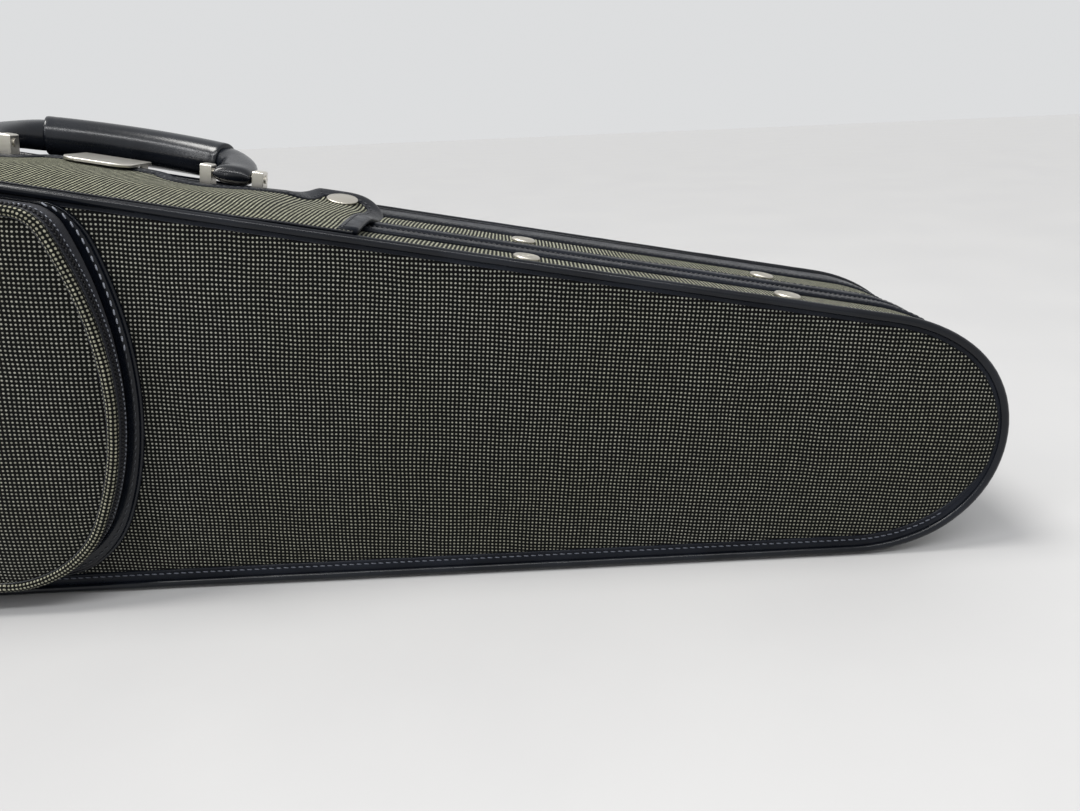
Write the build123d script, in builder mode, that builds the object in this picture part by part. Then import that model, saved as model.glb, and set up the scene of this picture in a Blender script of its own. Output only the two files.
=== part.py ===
"""Tapered violin case, closed and standing on its hinge side.

+X runs along the hinge side toward the narrow tip, +Y from the lid to the base and +Z up.
Depths are measured from the lid's rim plane toward the base, insets inward from the rim's outer line,
and the top frame (TOP) lies on the latch side with its origin midway along the handle.
"""

from math import asin, cos, degrees, radians, sin, sqrt, tan

import os

from build123d import *

os.makedirs("parts", exist_ok=True)

# ---------------------------------------------------------------- driving dimensions
HALF_TAPER = 5.415  # between the case axis and each straight side, degrees
APEX = 598.8  # from where the two sides would meet to the narrow tip
LENGTH = 780.0
TIP_CORNER, TIP_SWEEP = 88.0, 59.0  # narrow end: corner radius, half angle of its end arc
END_CORNER, END_SWEEP = 78.0, 34.0  # wide end
CASE_DEPTH = 120.0  # rim to rim
SPLIT = 46.0  # depth of the plane between lid and base
SPLIT_GAP = 0.4
FRONT_Y = -56.2  # rim plane of the lid
FOOT = 1.0  # feet stand this far below the rims

BEAD_R = 2.5
FABRIC_INSET = 2.5
SHELL_INSET = 3.7
LINING_INSET = 8.7
INSIDE_INSET = 9.7
EDGING_INSET = 0.9
STRIP_INSET = 1.3
FACE_STRIP = 10.2  # inner edge of the vinyl strip on each face
PLATE = 5.0

LID_BAND = 33.0  # depth where the lid fabric meets the zip edging
BASE_BAND = 59.5
FAR_STRIP = 92.0

CROWN_R = 600.0  # crosswise radius of the lid face
BACK_R = 1100.0
CROWN_EDGE = 1.6

HANDLE_X = -58.4  # handle centre along the case, from the middle of its length
PIN_DEPTH, PIN_RISE = 82.5, 8.5
POST_IN, POST_OUT = 50.0, 76.5
POST_W, POST_D, POST_TOP = 6.0, 8.0, 12.5
PIN_R = 2.0
RUN_FIT = 0.06  # radial clearance of a turning pin
GRIP_R, GRIP_HALF, HANDLE_REACH = 10.5, 48.5, 41.0
HANDLE_LEAN = 4.0  # degrees above flat at rest

FLAP_END = 141.5
FLAP_T = 1.8
CAP_X, CAP_DEPTH, CAP_R = 119.0, 87.0, 8.25
STUD_R = 6.4

HINGE_RISE = 2.7  # hinge axis above the rim line of the hinge side
HINGE_XS = (-250.0, 0.0, 250.0)
KNUCKLE_R, HINGE_PIN_R = 2.2, 1.1

# ---------------------------------------------------------------- outline
A = radians(HALF_TAPER)


def end_arc(apex, corner, sweep, side):
    """Radius of an end's arc, and the axial places of the end arc and corner arc centres."""
    s = radians(sweep)
    run = tan(A) * (apex + side * corner) - corner / cos(A)
    q = run / (sin(s) + side * tan(A) * (cos(s) - 1))
    big = q + corner
    return big, apex + side * big, apex + side * (big - q * cos(s)), q * sin(s)


TIP_R, TIP_C, TIP_KU, TIP_KV = end_arc(APEX, TIP_CORNER, TIP_SWEEP, 1)
END_R, END_C, END_KU, END_KV = end_arc(APEX + LENGTH, END_CORNER, END_SWEEP, -1)

RIGHT = -TIP_C * cos(A) + TIP_R
LEFT = -END_C * cos(A) - END_R
MEET_X = -(RIGHT + LEFT) / 2  # where the sides would meet, with the case centred on X


def at(u, v):
    """Point in the XZ plane from the distance along the case axis and the distance across it."""
    return (MEET_X - u * cos(A) + v * sin(A), FOOT + u * sin(A) + v * cos(A))


def depth_plane(depth):
    return Plane(origin=(0, FRONT_Y + depth, 0), x_dir=(1, 0, 0), z_dir=(0, -1, 0))


def case_wire(inset):
    """The case outline at an inset, as one closed line of arcs and straights."""
    low = degrees(A)
    with BuildLine() as wire:
        CenterArc(at(TIP_C, 0), TIP_R - inset, -low - TIP_SWEEP, 2 * TIP_SWEEP)
        upper = CenterArc(
            at(TIP_KU, TIP_KV), TIP_CORNER - inset, TIP_SWEEP - low, 90 - low - TIP_SWEEP
        )
        lower = CenterArc(
            at(TIP_KU, -TIP_KV), TIP_CORNER - inset, -90, 90 - low - TIP_SWEEP
        )
        CenterArc(at(END_C, 0), END_R - inset, 180 - low - END_SWEEP, 2 * END_SWEEP)
        far_up = CenterArc(
            at(END_KU, END_KV), END_CORNER - inset, 90 - 2 * low, 90 + low - END_SWEEP
        )
        far_low = CenterArc(
            at(END_KU, -END_KV), END_CORNER - inset, 180 - low + END_SWEEP, 90 + low - END_SWEEP
        )
        Line(upper @ 1, far_up @ 0)
        Line(far_low @ 1, lower @ 0)
    return wire.line


def case_shape(inset):
    with BuildSketch() as shape:
        make_face(case_wire(inset).edges())
    return shape.sketch


def half_width(u):
    """Half width of the outline, following the rounded ends."""
    side = u * tan(A)
    tip, end = u - APEX, APEX + LENGTH - u
    for d, reach, power in ((tip, 85.0, 2.6), (end, 110.0, 2.8)):
        if d <= 0:
            return d
        if d < reach:
            side = side * (1 - (1 - d / reach) ** power) ** (1 / power)
    return side


def crown_face(depth, radius, sign):
    """Domed face standing over the rim line of one face; sign -1 for the lid, +1 for the base."""
    rows = []
    for i in range(41):
        u = APEX - 6 + (LENGTH + 12) * (0.5 - 0.5 * cos(radians(4.5 * i)))
        inner = half_width(u) - FACE_STRIP
        row = []
        for j in range(15):
            v = -140 + 20 * j
            x, z = at(u, v)
            lift = (inner * abs(inner) - v * v) / (2 * radius)
            row.append(Vector(x, FRONT_Y + depth + sign * lift, z))
        rows.append(row)
    return Face.make_surface_from_array_of_points(rows, tol=0.02, min_deg=3, max_deg=5)


def shell_ring(outer, inner, start, stop):
    """Band that follows the outline between two insets and two depths."""
    with BuildPart() as band:
        with BuildSketch(depth_plane(start)):
            add(case_shape(outer))
            add(case_shape(inner), mode=Mode.SUBTRACT)
        extrude(amount=start - stop)
    return band.part


# the latch side and the hinge side
SLOPE = 2 * A
TOP = Plane(
    origin=(HANDLE_X, FRONT_Y, FOOT + (MEET_X - HANDLE_X) * tan(SLOPE)),
    x_dir=(cos(SLOPE), 0, -sin(SLOPE)),
    z_dir=(sin(SLOPE), 0, cos(SLOPE)),
)
SPINE_LEFT = MEET_X - (END_KU + END_CORNER * sin(A)) * cos(A) + 10
SPINE_RIGHT = MEET_X - TIP_KU * cos(A) - 30

# keeps the zip off the hinge side
with BuildPart() as spine_zone:
    with Locations(((SPINE_LEFT + SPINE_RIGHT) / 2, 0, 0)):
        Box(SPINE_RIGHT - SPINE_LEFT, 400, 30)


def hinge_grooves(radius):
    """Round grooves along the hinge axis that clear the knuckles."""
    with BuildPart() as grooves:
        for x in HINGE_XS:
            with BuildSketch(Plane(origin=(x - 22, FRONT_Y + SPLIT, FOOT + HINGE_RISE), z_dir=(1, 0, 0))):
                Circle(radius)
            extrude(amount=44)
    return grooves.part


GROOVES = hinge_grooves(KNUCKLE_R + 0.5)

# ================================================================ base
with BuildPart() as base_shell:
    with BuildSketch(depth_plane(SPLIT + SPLIT_GAP / 2)):
        add(case_shape(SHELL_INSET))
    extrude(amount=-(CASE_DEPTH - 5 - SPLIT - SPLIT_GAP / 2))
    with BuildSketch(depth_plane(CASE_DEPTH - 5)):
        add(case_shape(2 * BEAD_R))
    extrude(amount=-2)
    with BuildSketch(depth_plane(SPLIT)):
        add(case_shape(LINING_INSET))
    extrude(amount=-(CASE_DEPTH - 3 - PLATE - SPLIT), mode=Mode.SUBTRACT)
    add(GROOVES, mode=Mode.SUBTRACT)

with BuildPart() as base_lining:
    with BuildSketch(depth_plane(SPLIT + 4)):
        add(case_shape(LINING_INSET))
    extrude(amount=-(CASE_DEPTH - 3 - PLATE - SPLIT - 4))
    with BuildSketch(depth_plane(SPLIT)):
        add(case_shape(INSIDE_INSET))
    extrude(amount=-(CASE_DEPTH - 4 - PLATE - SPLIT), mode=Mode.SUBTRACT)

with BuildPart() as base_side_cover:
    add(shell_ring(FABRIC_INSET, SHELL_INSET, BASE_BAND, FAR_STRIP))

with BuildPart() as base_far_strip:
    add(shell_ring(STRIP_INSET, SHELL_INSET, FAR_STRIP, CASE_DEPTH - 5))

with BuildPart() as base_face_strip:
    add(shell_ring(2 * BEAD_R, FACE_STRIP, CASE_DEPTH - 3, CASE_DEPTH - 1))

with BuildPart() as base_zip_edging:
    add(shell_ring(EDGING_INSET, SHELL_INSET, 51.0, BASE_BAND))
    add(spine_zone.part, mode=Mode.SUBTRACT)

with BuildPart() as base_zip_tape:
    add(shell_ring(SHELL_INSET - 0.6, SHELL_INSET, SPLIT + SPLIT_GAP / 2, 51.0))
    add(spine_zone.part, mode=Mode.SUBTRACT)

with BuildPart() as below_hinge:
    with Locations(((SPINE_LEFT + SPINE_RIGHT) / 2 + 10, 0, 0)):
        Box(SPINE_RIGHT - SPINE_LEFT + 68, 400, 30)
with BuildPart() as base_zip_teeth:
    add(shell_ring(SHELL_INSET - 1.9, SHELL_INSET - 0.6, SPLIT + SPLIT_GAP / 2, 48.6))
    add(below_hinge.part, mode=Mode.SUBTRACT)


def rim_bead(depth):
    """Corded bead all round a rim."""
    with BuildPart() as bead:
        with BuildSketch(depth_plane(depth - BEAD_R)):
            add(case_shape(0))
            add(case_shape(2 * BEAD_R), mode=Mode.SUBTRACT)
        extrude(amount=-2 * BEAD_R)
        fillet(bead.edges(), BEAD_R * 0.98)
    return bead.part


with BuildPart() as base_rim_bead:
    add(rim_bead(CASE_DEPTH - BEAD_R))

BACK_CROWN = crown_face(CASE_DEPTH - CROWN_EDGE, BACK_R, 1)
with BuildPart() as base_back_cover:
    with BuildSketch(depth_plane(CASE_DEPTH - 3)):
        add(case_shape(FACE_STRIP))
    extrude(amount=-20)
    extrude(BACK_CROWN, amount=60, dir=(0, 1, 0), mode=Mode.SUBTRACT)

# ================================================================ lid
with BuildPart() as lid_shell:
    with BuildSketch(depth_plane(3)):
        add(case_shape(2 * BEAD_R))
    extrude(amount=-2)
    with BuildSketch(depth_plane(5)):
        add(case_shape(SHELL_INSET))
    extrude(amount=-(SPLIT - SPLIT_GAP / 2 - 5))
    with BuildSketch(depth_plane(3 + PLATE)):
        add(case_shape(LINING_INSET))
    extrude(amount=-SPLIT, mode=Mode.SUBTRACT)
    add(GROOVES, mode=Mode.SUBTRACT)

with BuildPart() as lid_lining:
    with BuildSketch(depth_plane(3 + PLATE)):
        add(case_shape(LINING_INSET))
    extrude(amount=-(SPLIT - 2 - 3 - PLATE))
    with BuildSketch(depth_plane(4 + PLATE)):
        add(case_shape(INSIDE_INSET))
    extrude(amount=-SPLIT, mode=Mode.SUBTRACT)

with BuildPart() as lid_side_cover:
    add(shell_ring(FABRIC_INSET, SHELL_INSET, 5.0, LID_BAND))

with BuildPart() as lid_face_strip:
    add(shell_ring(2 * BEAD_R, FACE_STRIP, 1.0, 3.0))

with BuildPart() as lid_zip_edging:
    add(shell_ring(EDGING_INSET, SHELL_INSET, LID_BAND, 41.0))
    add(spine_zone.part, mode=Mode.SUBTRACT)

with BuildPart() as lid_zip_tape:
    add(shell_ring(SHELL_INSET - 0.6, SHELL_INSET, 41.0, SPLIT - SPLIT_GAP / 2))
    add(spine_zone.part, mode=Mode.SUBTRACT)

with BuildPart() as lid_zip_teeth:
    add(shell_ring(SHELL_INSET - 1.9, SHELL_INSET - 0.6, 43.4, SPLIT - SPLIT_GAP / 2))
    add(below_hinge.part, mode=Mode.SUBTRACT)

with BuildPart() as lid_rim_bead:
    add(rim_bead(BEAD_R))

LID_CROWN = crown_face(CROWN_EDGE, CROWN_R, -1)
with BuildPart() as under_crown:
    extrude(LID_CROWN, amount=40, dir=(0, 1, 0))
with BuildPart() as lid_face_cover:
    with BuildSketch(depth_plane(3)):
        add(case_shape(FACE_STRIP))
    extrude(amount=20)
    add(under_crown.part, mode=Mode.INTERSECT)

# ---------------------------------------------------------------- spine hinges
hinge_axis = (0, FRONT_Y + SPLIT, FOOT + HINGE_RISE)


def leaf_and_knuckles(side, spans):
    """One hinge leaf with its knuckles; side -1 for the lid, +1 for the base."""
    with BuildPart() as leaf:
        for x in HINGE_XS:
            y0, z0 = hinge_axis[1], hinge_axis[2]
            for start, stop in spans:
                with BuildSketch(Plane(origin=(x + start, y0, z0), z_dir=(1, 0, 0))):
                    Circle(KNUCKLE_R)
                extrude(amount=stop - start)
                with Locations((x + (start + stop) / 2, y0 + side * 2.5, z0 + 0.5)):
                    Box(stop - start, 5, 1.0)
            with Locations((x, y0 + side * 7.8, z0 + 0.5)):
                Box(42, 8, 1.0)
            with BuildSketch(Plane(origin=(x - 25, y0, z0), z_dir=(1, 0, 0))):
                Circle(HINGE_PIN_R + (RUN_FIT if side < 0 else 0))
            extrude(amount=50, mode=Mode.SUBTRACT)
    return leaf.part


with BuildPart() as lid_hinge_leaves:
    add(leaf_and_knuckles(-1, ((-7, 7),)))
with BuildPart() as base_hinge_leaves:
    add(leaf_and_knuckles(1, ((-20, -7.4), (7.4, 20))))
with BuildPart() as hinge_pins:
    for x in HINGE_XS:
        with BuildSketch(Plane(origin=(x - 20.5, hinge_axis[1], hinge_axis[2]), z_dir=(1, 0, 0))):
            Circle(HINGE_PIN_R)
        extrude(amount=41)

with BuildPart() as spine_feet:
    for x in (SPINE_LEFT + 25, SPINE_RIGHT - 25):
        with BuildSketch(Plane(origin=(x, FRONT_Y + 103, 0), z_dir=(0, 0, 1))):
            Circle(6)
        extrude(amount=FOOT + STRIP_INSET)
    fillet(spine_feet.faces().sort_by(Axis.Z)[:2].edges(), 0.8)

with BuildPart() as lid_feet:
    for x in (SPINE_LEFT + 25, SPINE_RIGHT - 25):
        with BuildSketch(Plane(origin=(x, FRONT_Y + 19, 0), z_dir=(0, 0, 1))):
            Circle(6)
        extrude(amount=FOOT + FABRIC_INSET)
    fillet(lid_feet.faces().sort_by(Axis.Z)[:2].edges(), 0.8)


# ---------------------------------------------------------------- studs
def rim_studs(places):
    """Round studs with a raised rim, an inner ring and a centre dimple."""
    with BuildPart(TOP) as studs:
        for x, depth in places:
            with Locations((x, depth, -FABRIC_INSET)):
                Cylinder(STUD_R, 1.6, align=(Align.CENTER, Align.CENTER, Align.MIN))
                with Locations((0, 0, 1.6)):
                    Cylinder(STUD_R - 0.4, 0.5, align=(Align.CENTER, Align.CENTER, Align.MIN))
                    Cylinder(
                        STUD_R - 1.7, 0.5, align=(Align.CENTER, Align.CENTER, Align.MIN), mode=Mode.SUBTRACT
                    )
                    Cylinder(2.6, 0.4, align=(Align.CENTER, Align.CENTER, Align.MIN))
                    Cylinder(1.1, 1.2, mode=Mode.SUBTRACT)
    return studs.part


with BuildPart() as lid_studs:
    add(rim_studs(((218.5, 19.0), (345.0, 19.0))))
with BuildPart() as base_studs:
    add(rim_studs(((217.5, 72.5), (348.0, 72.5))))

# ================================================================ handle and brackets
with BuildPart(TOP) as handle_brackets:
    for side in (-1, 1):
        mid = side * (POST_IN + POST_OUT) / 2
        with Locations((mid, PIN_DEPTH, -FABRIC_INSET)):
            Box(
                POST_OUT - POST_IN + POST_W + 5,
                15,
                1.2,
                align=(Align.CENTER, Align.CENTER, Align.MIN),
            )
        for x in (side * POST_IN, side * POST_OUT):
            with Locations((x, PIN_DEPTH, -FABRIC_INSET)):
                Box(
                    POST_W,
                    POST_D,
                    POST_TOP + FABRIC_INSET,
                    align=(Align.CENTER, Align.CENTER, Align.MIN),
                )
    tops = handle_brackets.faces().filter_by(
        lambda f: TOP.to_local_coords(f.center()).Z > POST_TOP - 0.1
    )
    fillet(ShapeList([e for f in tops for e in f.edges()]), 1.0)
    with Locations((0, PIN_DEPTH, PIN_RISE)):
        Cylinder(PIN_R, 170, rotation=(0, 90, 0), mode=Mode.SUBTRACT)

with BuildPart(TOP) as handle_pins:
    for side in (-1, 1):
        with Locations((side * (POST_IN + POST_OUT) / 2, PIN_DEPTH, PIN_RISE)):
            Cylinder(PIN_R, POST_OUT - POST_IN + POST_W + 1.2, rotation=(0, 90, 0))

HANDLE = Plane(
    origin=TOP.from_local_coords((0, PIN_DEPTH, PIN_RISE)),
    x_dir=TOP.x_dir,
    z_dir=TOP.z_dir * cos(radians(HANDLE_LEAN)) - TOP.y_dir * sin(radians(HANDLE_LEAN)),
)  # local Y runs from the pins out to the grip

GRIP_SAG = 7.5
GRIP_BOW = (GRIP_HALF**2 + GRIP_SAG**2) / (2 * GRIP_SAG)


GRIP_TURN = asin(GRIP_HALF / GRIP_BOW)  # slope of the centre line at the grip's ends
BOW_AXIS = Axis(HANDLE.from_local_coords((0, HANDLE_REACH - GRIP_BOW, 0)), HANDLE.z_dir)
GRIP_START = Plane(
    origin=HANDLE.from_local_coords((GRIP_HALF, HANDLE_REACH - GRIP_SAG, 0)),
    x_dir=HANDLE.z_dir,
    z_dir=HANDLE.y_dir * sin(GRIP_TURN) - HANDLE.x_dir * cos(GRIP_TURN),
)
CORE_R = 6.5
with BuildPart() as handle_core:
    with BuildSketch(GRIP_START):
        Circle(CORE_R)
    revolve(axis=BOW_AXIS, revolution_arc=2 * degrees(GRIP_TURN))

with BuildPart() as handle_grip:
    with BuildSketch(GRIP_START):
        Circle(GRIP_R)
        Circle(CORE_R, mode=Mode.SUBTRACT)
    revolve(axis=BOW_AXIS, revolution_arc=2 * degrees(GRIP_TURN))
    mouths = handle_grip.faces().filter_by(GeomType.PLANE)
    fillet(ShapeList([f.outer_wire().edges()[0] for f in mouths]), 1.2)

LOOP_X = (POST_IN + POST_OUT) / 2
LOOP_W = POST_OUT - POST_IN - POST_W - 1.0
LOOP_R = 5.0
with BuildPart() as handle_ends:
    for side in (-1, 1):
        loop_start = HANDLE.from_local_coords((side * (LOOP_X - LOOP_W / 2), 0, 0))
        with BuildSketch(Plane(loop_start, z_dir=HANDLE.x_dir * side)):
            Circle(LOOP_R)
        extrude(amount=LOOP_W)
        start_y = HANDLE_REACH - GRIP_BOW + sqrt(GRIP_BOW**2 - GRIP_HALF**2)
        with BuildSketch(
            Plane(
                origin=HANDLE.from_local_coords((side * (GRIP_HALF + 0.3), start_y - 0.1, 0)),
                x_dir=HANDLE.z_dir,
                z_dir=HANDLE.x_dir * side * cos(GRIP_TURN) - HANDLE.y_dir * sin(GRIP_TURN),
            )
        ):
            Ellipse(8.0, 8.6)
        with BuildSketch(
            Plane(
                origin=HANDLE.from_local_coords((side * (LOOP_X - 2.0), 17.0, 0)),
                x_dir=HANDLE.z_dir,
                z_dir=HANDLE.x_dir * side * 0.30 - HANDLE.y_dir * 0.954,
            )
        ):
            Ellipse(6.2, 9.4)
        with BuildSketch(
            Plane(
                origin=HANDLE.from_local_coords((side * LOOP_X, 2.5, 0)),
                x_dir=HANDLE.z_dir,
                z_dir=HANDLE.y_dir * -1,
            )
        ):
            Ellipse(4.6, LOOP_W / 2)
        loft()
    for side in (-1, 1):
        with BuildSketch(Plane(HANDLE.from_local_coords((side * 40, 0, 0)), z_dir=HANDLE.x_dir * side)):
            Circle(PIN_R + RUN_FIT)
        extrude(amount=50, mode=Mode.SUBTRACT)

# ================================================================ flap over the zip
FLAP_FROM, FLAP_TO = 6.0, 98.0


def flap_profile(low, high):
    """Arched section of the flap between two heights above its underside, in the TOP frame's YZ."""
    with BuildSketch() as section:
        with BuildLine():
            under = ThreePointArc((FLAP_FROM, 0.5 + low), (SPLIT, 3.3 + low), (FLAP_TO, 3.4 + low))
            over = ThreePointArc((FLAP_FROM, 0.5 + high), (SPLIT, 3.3 + high), (FLAP_TO, 3.4 + high))
            Line(under @ 0, over @ 0)
            Line(under @ 1, over @ 1)
        make_face()
    return section.sketch


def flap_outline(margin):
    """Flap seen from above: two snap tabs and a tongue under the latch plate."""
    end = FLAP_END - margin
    with BuildSketch() as shape:
        with Locations((0, (FLAP_FROM + 74 - margin) / 2)):
            Rectangle(2 * end, 74 - margin - FLAP_FROM)
        for side in (-1, 1):
            with Locations((side * (end + 99 + margin) / 2, (FLAP_FROM + FLAP_TO - margin) / 2)):
                Rectangle(end - 99 - margin, FLAP_TO - margin - FLAP_FROM)
        with Locations((0, (FLAP_FROM + 80 - margin) / 2)):
            Rectangle(64 - 2 * margin, 80 - margin - FLAP_FROM)
        fillet(shape.vertices().filter_by(lambda p: abs(p.X) > end - 1 and p.Y > 70), 16 - margin)
        fillet(shape.vertices().filter_by(lambda p: abs(p.X) < end - 13 and p.Y > 60), 2.9)
    return shape.sketch


SECTION = Plane(origin=TOP.from_local_coords((-160, 0, 0)), x_dir=TOP.y_dir, z_dir=TOP.x_dir)


def flap_slab(low, high):
    with BuildPart() as slab:
        with BuildSketch(SECTION):
            add(flap_profile(low, high))
        extrude(amount=320)
    return slab.part


def flap_layer(low, high, outer, inner=None):
    with BuildPart() as layer:
        with BuildSketch(TOP):
            add(flap_outline(outer))
            if inner is not None:
                add(flap_outline(inner), mode=Mode.SUBTRACT)
                with Locations((0, FLAP_FROM + (inner / 2))):
                    Rectangle(2 * (FLAP_END - inner), inner + 1, mode=Mode.SUBTRACT)
        extrude(amount=20, both=True)
        add(flap_slab(low, high), mode=Mode.INTERSECT)
    return layer.part


def flap_rise(depth):
    """Height of the flap's underside at a depth, close to the arc of its section."""
    return 3.3 + 0.0404 * (depth - SPLIT) - 0.00074 * (depth - SPLIT) ** 2


CAP_TILT = degrees(0.0404 - 2 * 0.00074 * (CAP_DEPTH - SPLIT))


def cap_plane(side):
    top = TOP.from_local_coords((side * CAP_X, CAP_DEPTH, flap_rise(CAP_DEPTH) + FLAP_T))
    return Plane(origin=top, x_dir=TOP.x_dir, z_dir=TOP.z_dir).rotated((CAP_TILT, 0, 0))


with BuildPart() as cap_room:
    for side in (-1, 1):
        with BuildSketch(cap_plane(side)):
            Circle(CAP_R + 0.1)
        extrude(amount=8)

LATCH_HALF, LATCH_LOW, LATCH_T = 17.0, 6.1, 1.6
with BuildPart(TOP) as latch_room:
    with Locations((0, 78, LATCH_LOW - 0.1)):
        Box(2 * LATCH_HALF + 0.6, 36, 4, align=(Align.CENTER, Align.CENTER, Align.MIN))

with BuildPart() as flap_panel:
    add(flap_layer(0, FLAP_T, 0))

with BuildPart() as flap_binding:
    add(flap_layer(FLAP_T, FLAP_T + 0.9, 0, 8.5))
    add(cap_room.part, mode=Mode.SUBTRACT)
    add(latch_room.part, mode=Mode.SUBTRACT)

with BuildPart() as snap_caps:
    for side in (-1, 1):
        with BuildSketch(cap_plane(side).offset(0.15)):
            Circle(CAP_R)
        extrude(amount=2.0)
    tops = snap_caps.faces().filter_by(GeomType.PLANE).filter_by(lambda f: f.normal_at().Z > 0.5)
    fillet(ShapeList([e for f in tops for e in f.edges()]), 1.2)

with BuildPart(TOP) as snap_sockets:
    for side in (-1, 1):
        with Locations((side * CAP_X, CAP_DEPTH - 2, -FABRIC_INSET)):
            Cylinder(6.0, 1.2, align=(Align.CENTER, Align.CENTER, Align.MIN))
            Cylinder(3.4, 4.6, align=(Align.CENTER, Align.CENTER, Align.MIN))

# ---------------------------------------------------------------- latch under the handle
with BuildPart(TOP) as latch_plate:
    with BuildSketch(TOP.offset(LATCH_LOW)) as plate:
        with Locations((0, (64 + 93) / 2)):
            Rectangle(2 * LATCH_HALF, 93 - 64)
        front, rear = plate.vertices().sort_by(Axis(TOP.origin, TOP.y_dir)).group_by(Axis(TOP.origin, TOP.y_dir))
        fillet(front, 8)
        fillet(rear, 4)
    extrude(amount=LATCH_T)
    fillet(latch_plate.faces().sort_by(Axis(TOP.origin, TOP.z_dir))[-1].edges(), 0.6)
    for side in (-1, 1):
        with Locations((side * (LATCH_HALF - 0.7), 85, LATCH_LOW - 1.0)):
            Box(1.4, 7, 3.0)
        with Locations((side * 9, 68, LATCH_LOW - 0.15)):
            Cylinder(2.5, 0.3)

with BuildPart(TOP) as latch_body:
    with Locations((0, 86.6, -FABRIC_INSET)):
        Box(28, 9.6, 6.4, align=(Align.CENTER, Align.CENTER, Align.MIN))
    fillet(latch_body.edges().filter_by(Axis(TOP.origin, TOP.z_dir)), 2.0)
    with Locations((0, 86.6, -FABRIC_INSET + 6.4)):
        Box(18, 1.6, 1.6, mode=Mode.SUBTRACT)

# ================================================================ zip sliders
TEETH_TOP = -(SHELL_INSET - 1.9)
SLIDER_REST = (-152.0, -171.0)
BAIL_RISE, BAIL_R, EYE_R = 1.75, 0.6, 1.05


def zip_slider(x):
    """Slider body over the teeth, with two lugs and the pin that carries its pull."""
    with BuildPart(TOP) as slider:
        with Locations((x, SPLIT, TEETH_TOP + 0.3)):
            Box(12, 8.6, 1.8, align=(Align.CENTER, Align.CENTER, Align.MIN))
        fillet(slider.edges().filter_by(Axis(TOP.origin, TOP.z_dir)), 2.5)
        with Locations((x, SPLIT + 3.65, TEETH_TOP - 0.8)):
            Box(8, 1.2, 1.4, align=(Align.CENTER, Align.CENTER, Align.MIN))
        for end in (-1, 1):
            with Locations((x + end * 4.4, SPLIT, TEETH_TOP + 2.0)):
                Box(1.4, 2.4, BAIL_RISE + 0.9 - TEETH_TOP - 2.0, align=(Align.CENTER, Align.CENTER, Align.MIN))
        with Locations((x, SPLIT, BAIL_RISE)):
            Cylinder(BAIL_R, 8.0, rotation=(0, 90, 0))
    return slider.part


def zip_pull(x):
    """Flat pull with an eye round the slider's pin, lying over the base."""
    with BuildPart() as pull:
        with BuildSketch(TOP.offset(BAIL_RISE - 0.6)) as plate:
            with Locations((x, SPLIT + 12.0)):
                Rectangle(7.0, 17.0)
            fillet(plate.vertices(), 1.8)
            with Locations((x, SPLIT + 16.5)):
                SlotOverall(5.0, 2.4, rotation=90, mode=Mode.SUBTRACT)
            with Locations((x, SPLIT + 2.0)):
                Rectangle(4.6, 4.0)
        extrude(amount=1.2)
        with BuildSketch(Plane(TOP.from_local_coords((x - 3.2, SPLIT, BAIL_RISE)), z_dir=TOP.x_dir)):
            Circle(EYE_R)
        extrude(amount=6.4)
        with BuildSketch(Plane(TOP.from_local_coords((x - 5, SPLIT, BAIL_RISE)), z_dir=TOP.x_dir)):
            Circle(BAIL_R + RUN_FIT)
        extrude(amount=10, mode=Mode.SUBTRACT)
    return pull.part


with BuildPart() as right_slider:
    add(zip_slider(SLIDER_REST[0]))
with BuildPart() as right_pull:
    add(zip_pull(SLIDER_REST[0]))
with BuildPart() as left_slider:
    add(zip_slider(SLIDER_REST[1]))
with BuildPart() as left_pull:
    add(zip_pull(SLIDER_REST[1]))

# ================================================================ lid pocket
POCKET_INSET = 6.2
POCKET_BULGE = 160.0
POCKET_CX = -190.4
POCKET_FRONT = -15.6
POCKET_ZIP = -10.0
POCKET_LOW = 14.5


def pocket_shape(margin):
    """Pocket outline at a margin inside its seam: it follows the rim and ends in a round bulge."""
    with BuildSketch() as shape:
        add(case_shape(POCKET_INSET + margin))
        with BuildSketch(mode=Mode.PRIVATE) as bulge:
            with Locations((POCKET_CX, 120 + FOOT)):
                Circle(POCKET_BULGE - margin)
            with Locations((POCKET_CX - 200, 120 + FOOT)):
                Rectangle(400, 2 * (POCKET_BULGE - margin))
        add(bulge.sketch, mode=Mode.INTERSECT)
        with Locations((0, POCKET_LOW + margin)):
            Rectangle(1000, 400, align=(Align.CENTER, Align.MIN), mode=Mode.INTERSECT)
        fillet(shape.vertices().filter_by(lambda p: p.X > -130 and p.Y > 176), 16 - margin)
        fillet(shape.vertices().filter_by(lambda p: p.X > -130 and p.Y < 66), 60 - margin)
        fillet(shape.vertices().filter_by(lambda p: p.X < -300 and p.Y < 40), 30 - margin)
    return shape.sketch


def pocket_band(outer, inner, start, stop):
    with BuildPart() as band:
        with BuildSketch(depth_plane(start)):
            add(pocket_shape(outer))
            add(pocket_shape(inner), mode=Mode.SUBTRACT)
        extrude(amount=start - stop)
    return band.part


with BuildPart() as pocket_gusset:
    add(pocket_band(0, 1.6, POCKET_FRONT + 2.4, 10))
    add(under_crown.part, mode=Mode.SUBTRACT)
    add(lid_face_strip.part, mode=Mode.SUBTRACT)

with BuildPart() as pocket_trim:
    with BuildSketch(depth_plane(10)):
        add(case_shape(FACE_STRIP + 0.1))
        with BuildSketch(mode=Mode.PRIVATE) as seam:
            add(pocket_shape(0.0))
        add(seam.sketch, mode=Mode.SUBTRACT)
        with BuildSketch(mode=Mode.PRIVATE) as reach:
            add(pocket_shape(-7.6))
        add(reach.sketch, mode=Mode.INTERSECT)
    extrude(amount=30)
    with BuildPart(mode=Mode.PRIVATE) as raised:
        extrude(LID_CROWN.moved(Location((0, -1.4, 0))), amount=1.4, dir=(0, 1, 0))
    add(raised.part, mode=Mode.INTERSECT)

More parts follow.
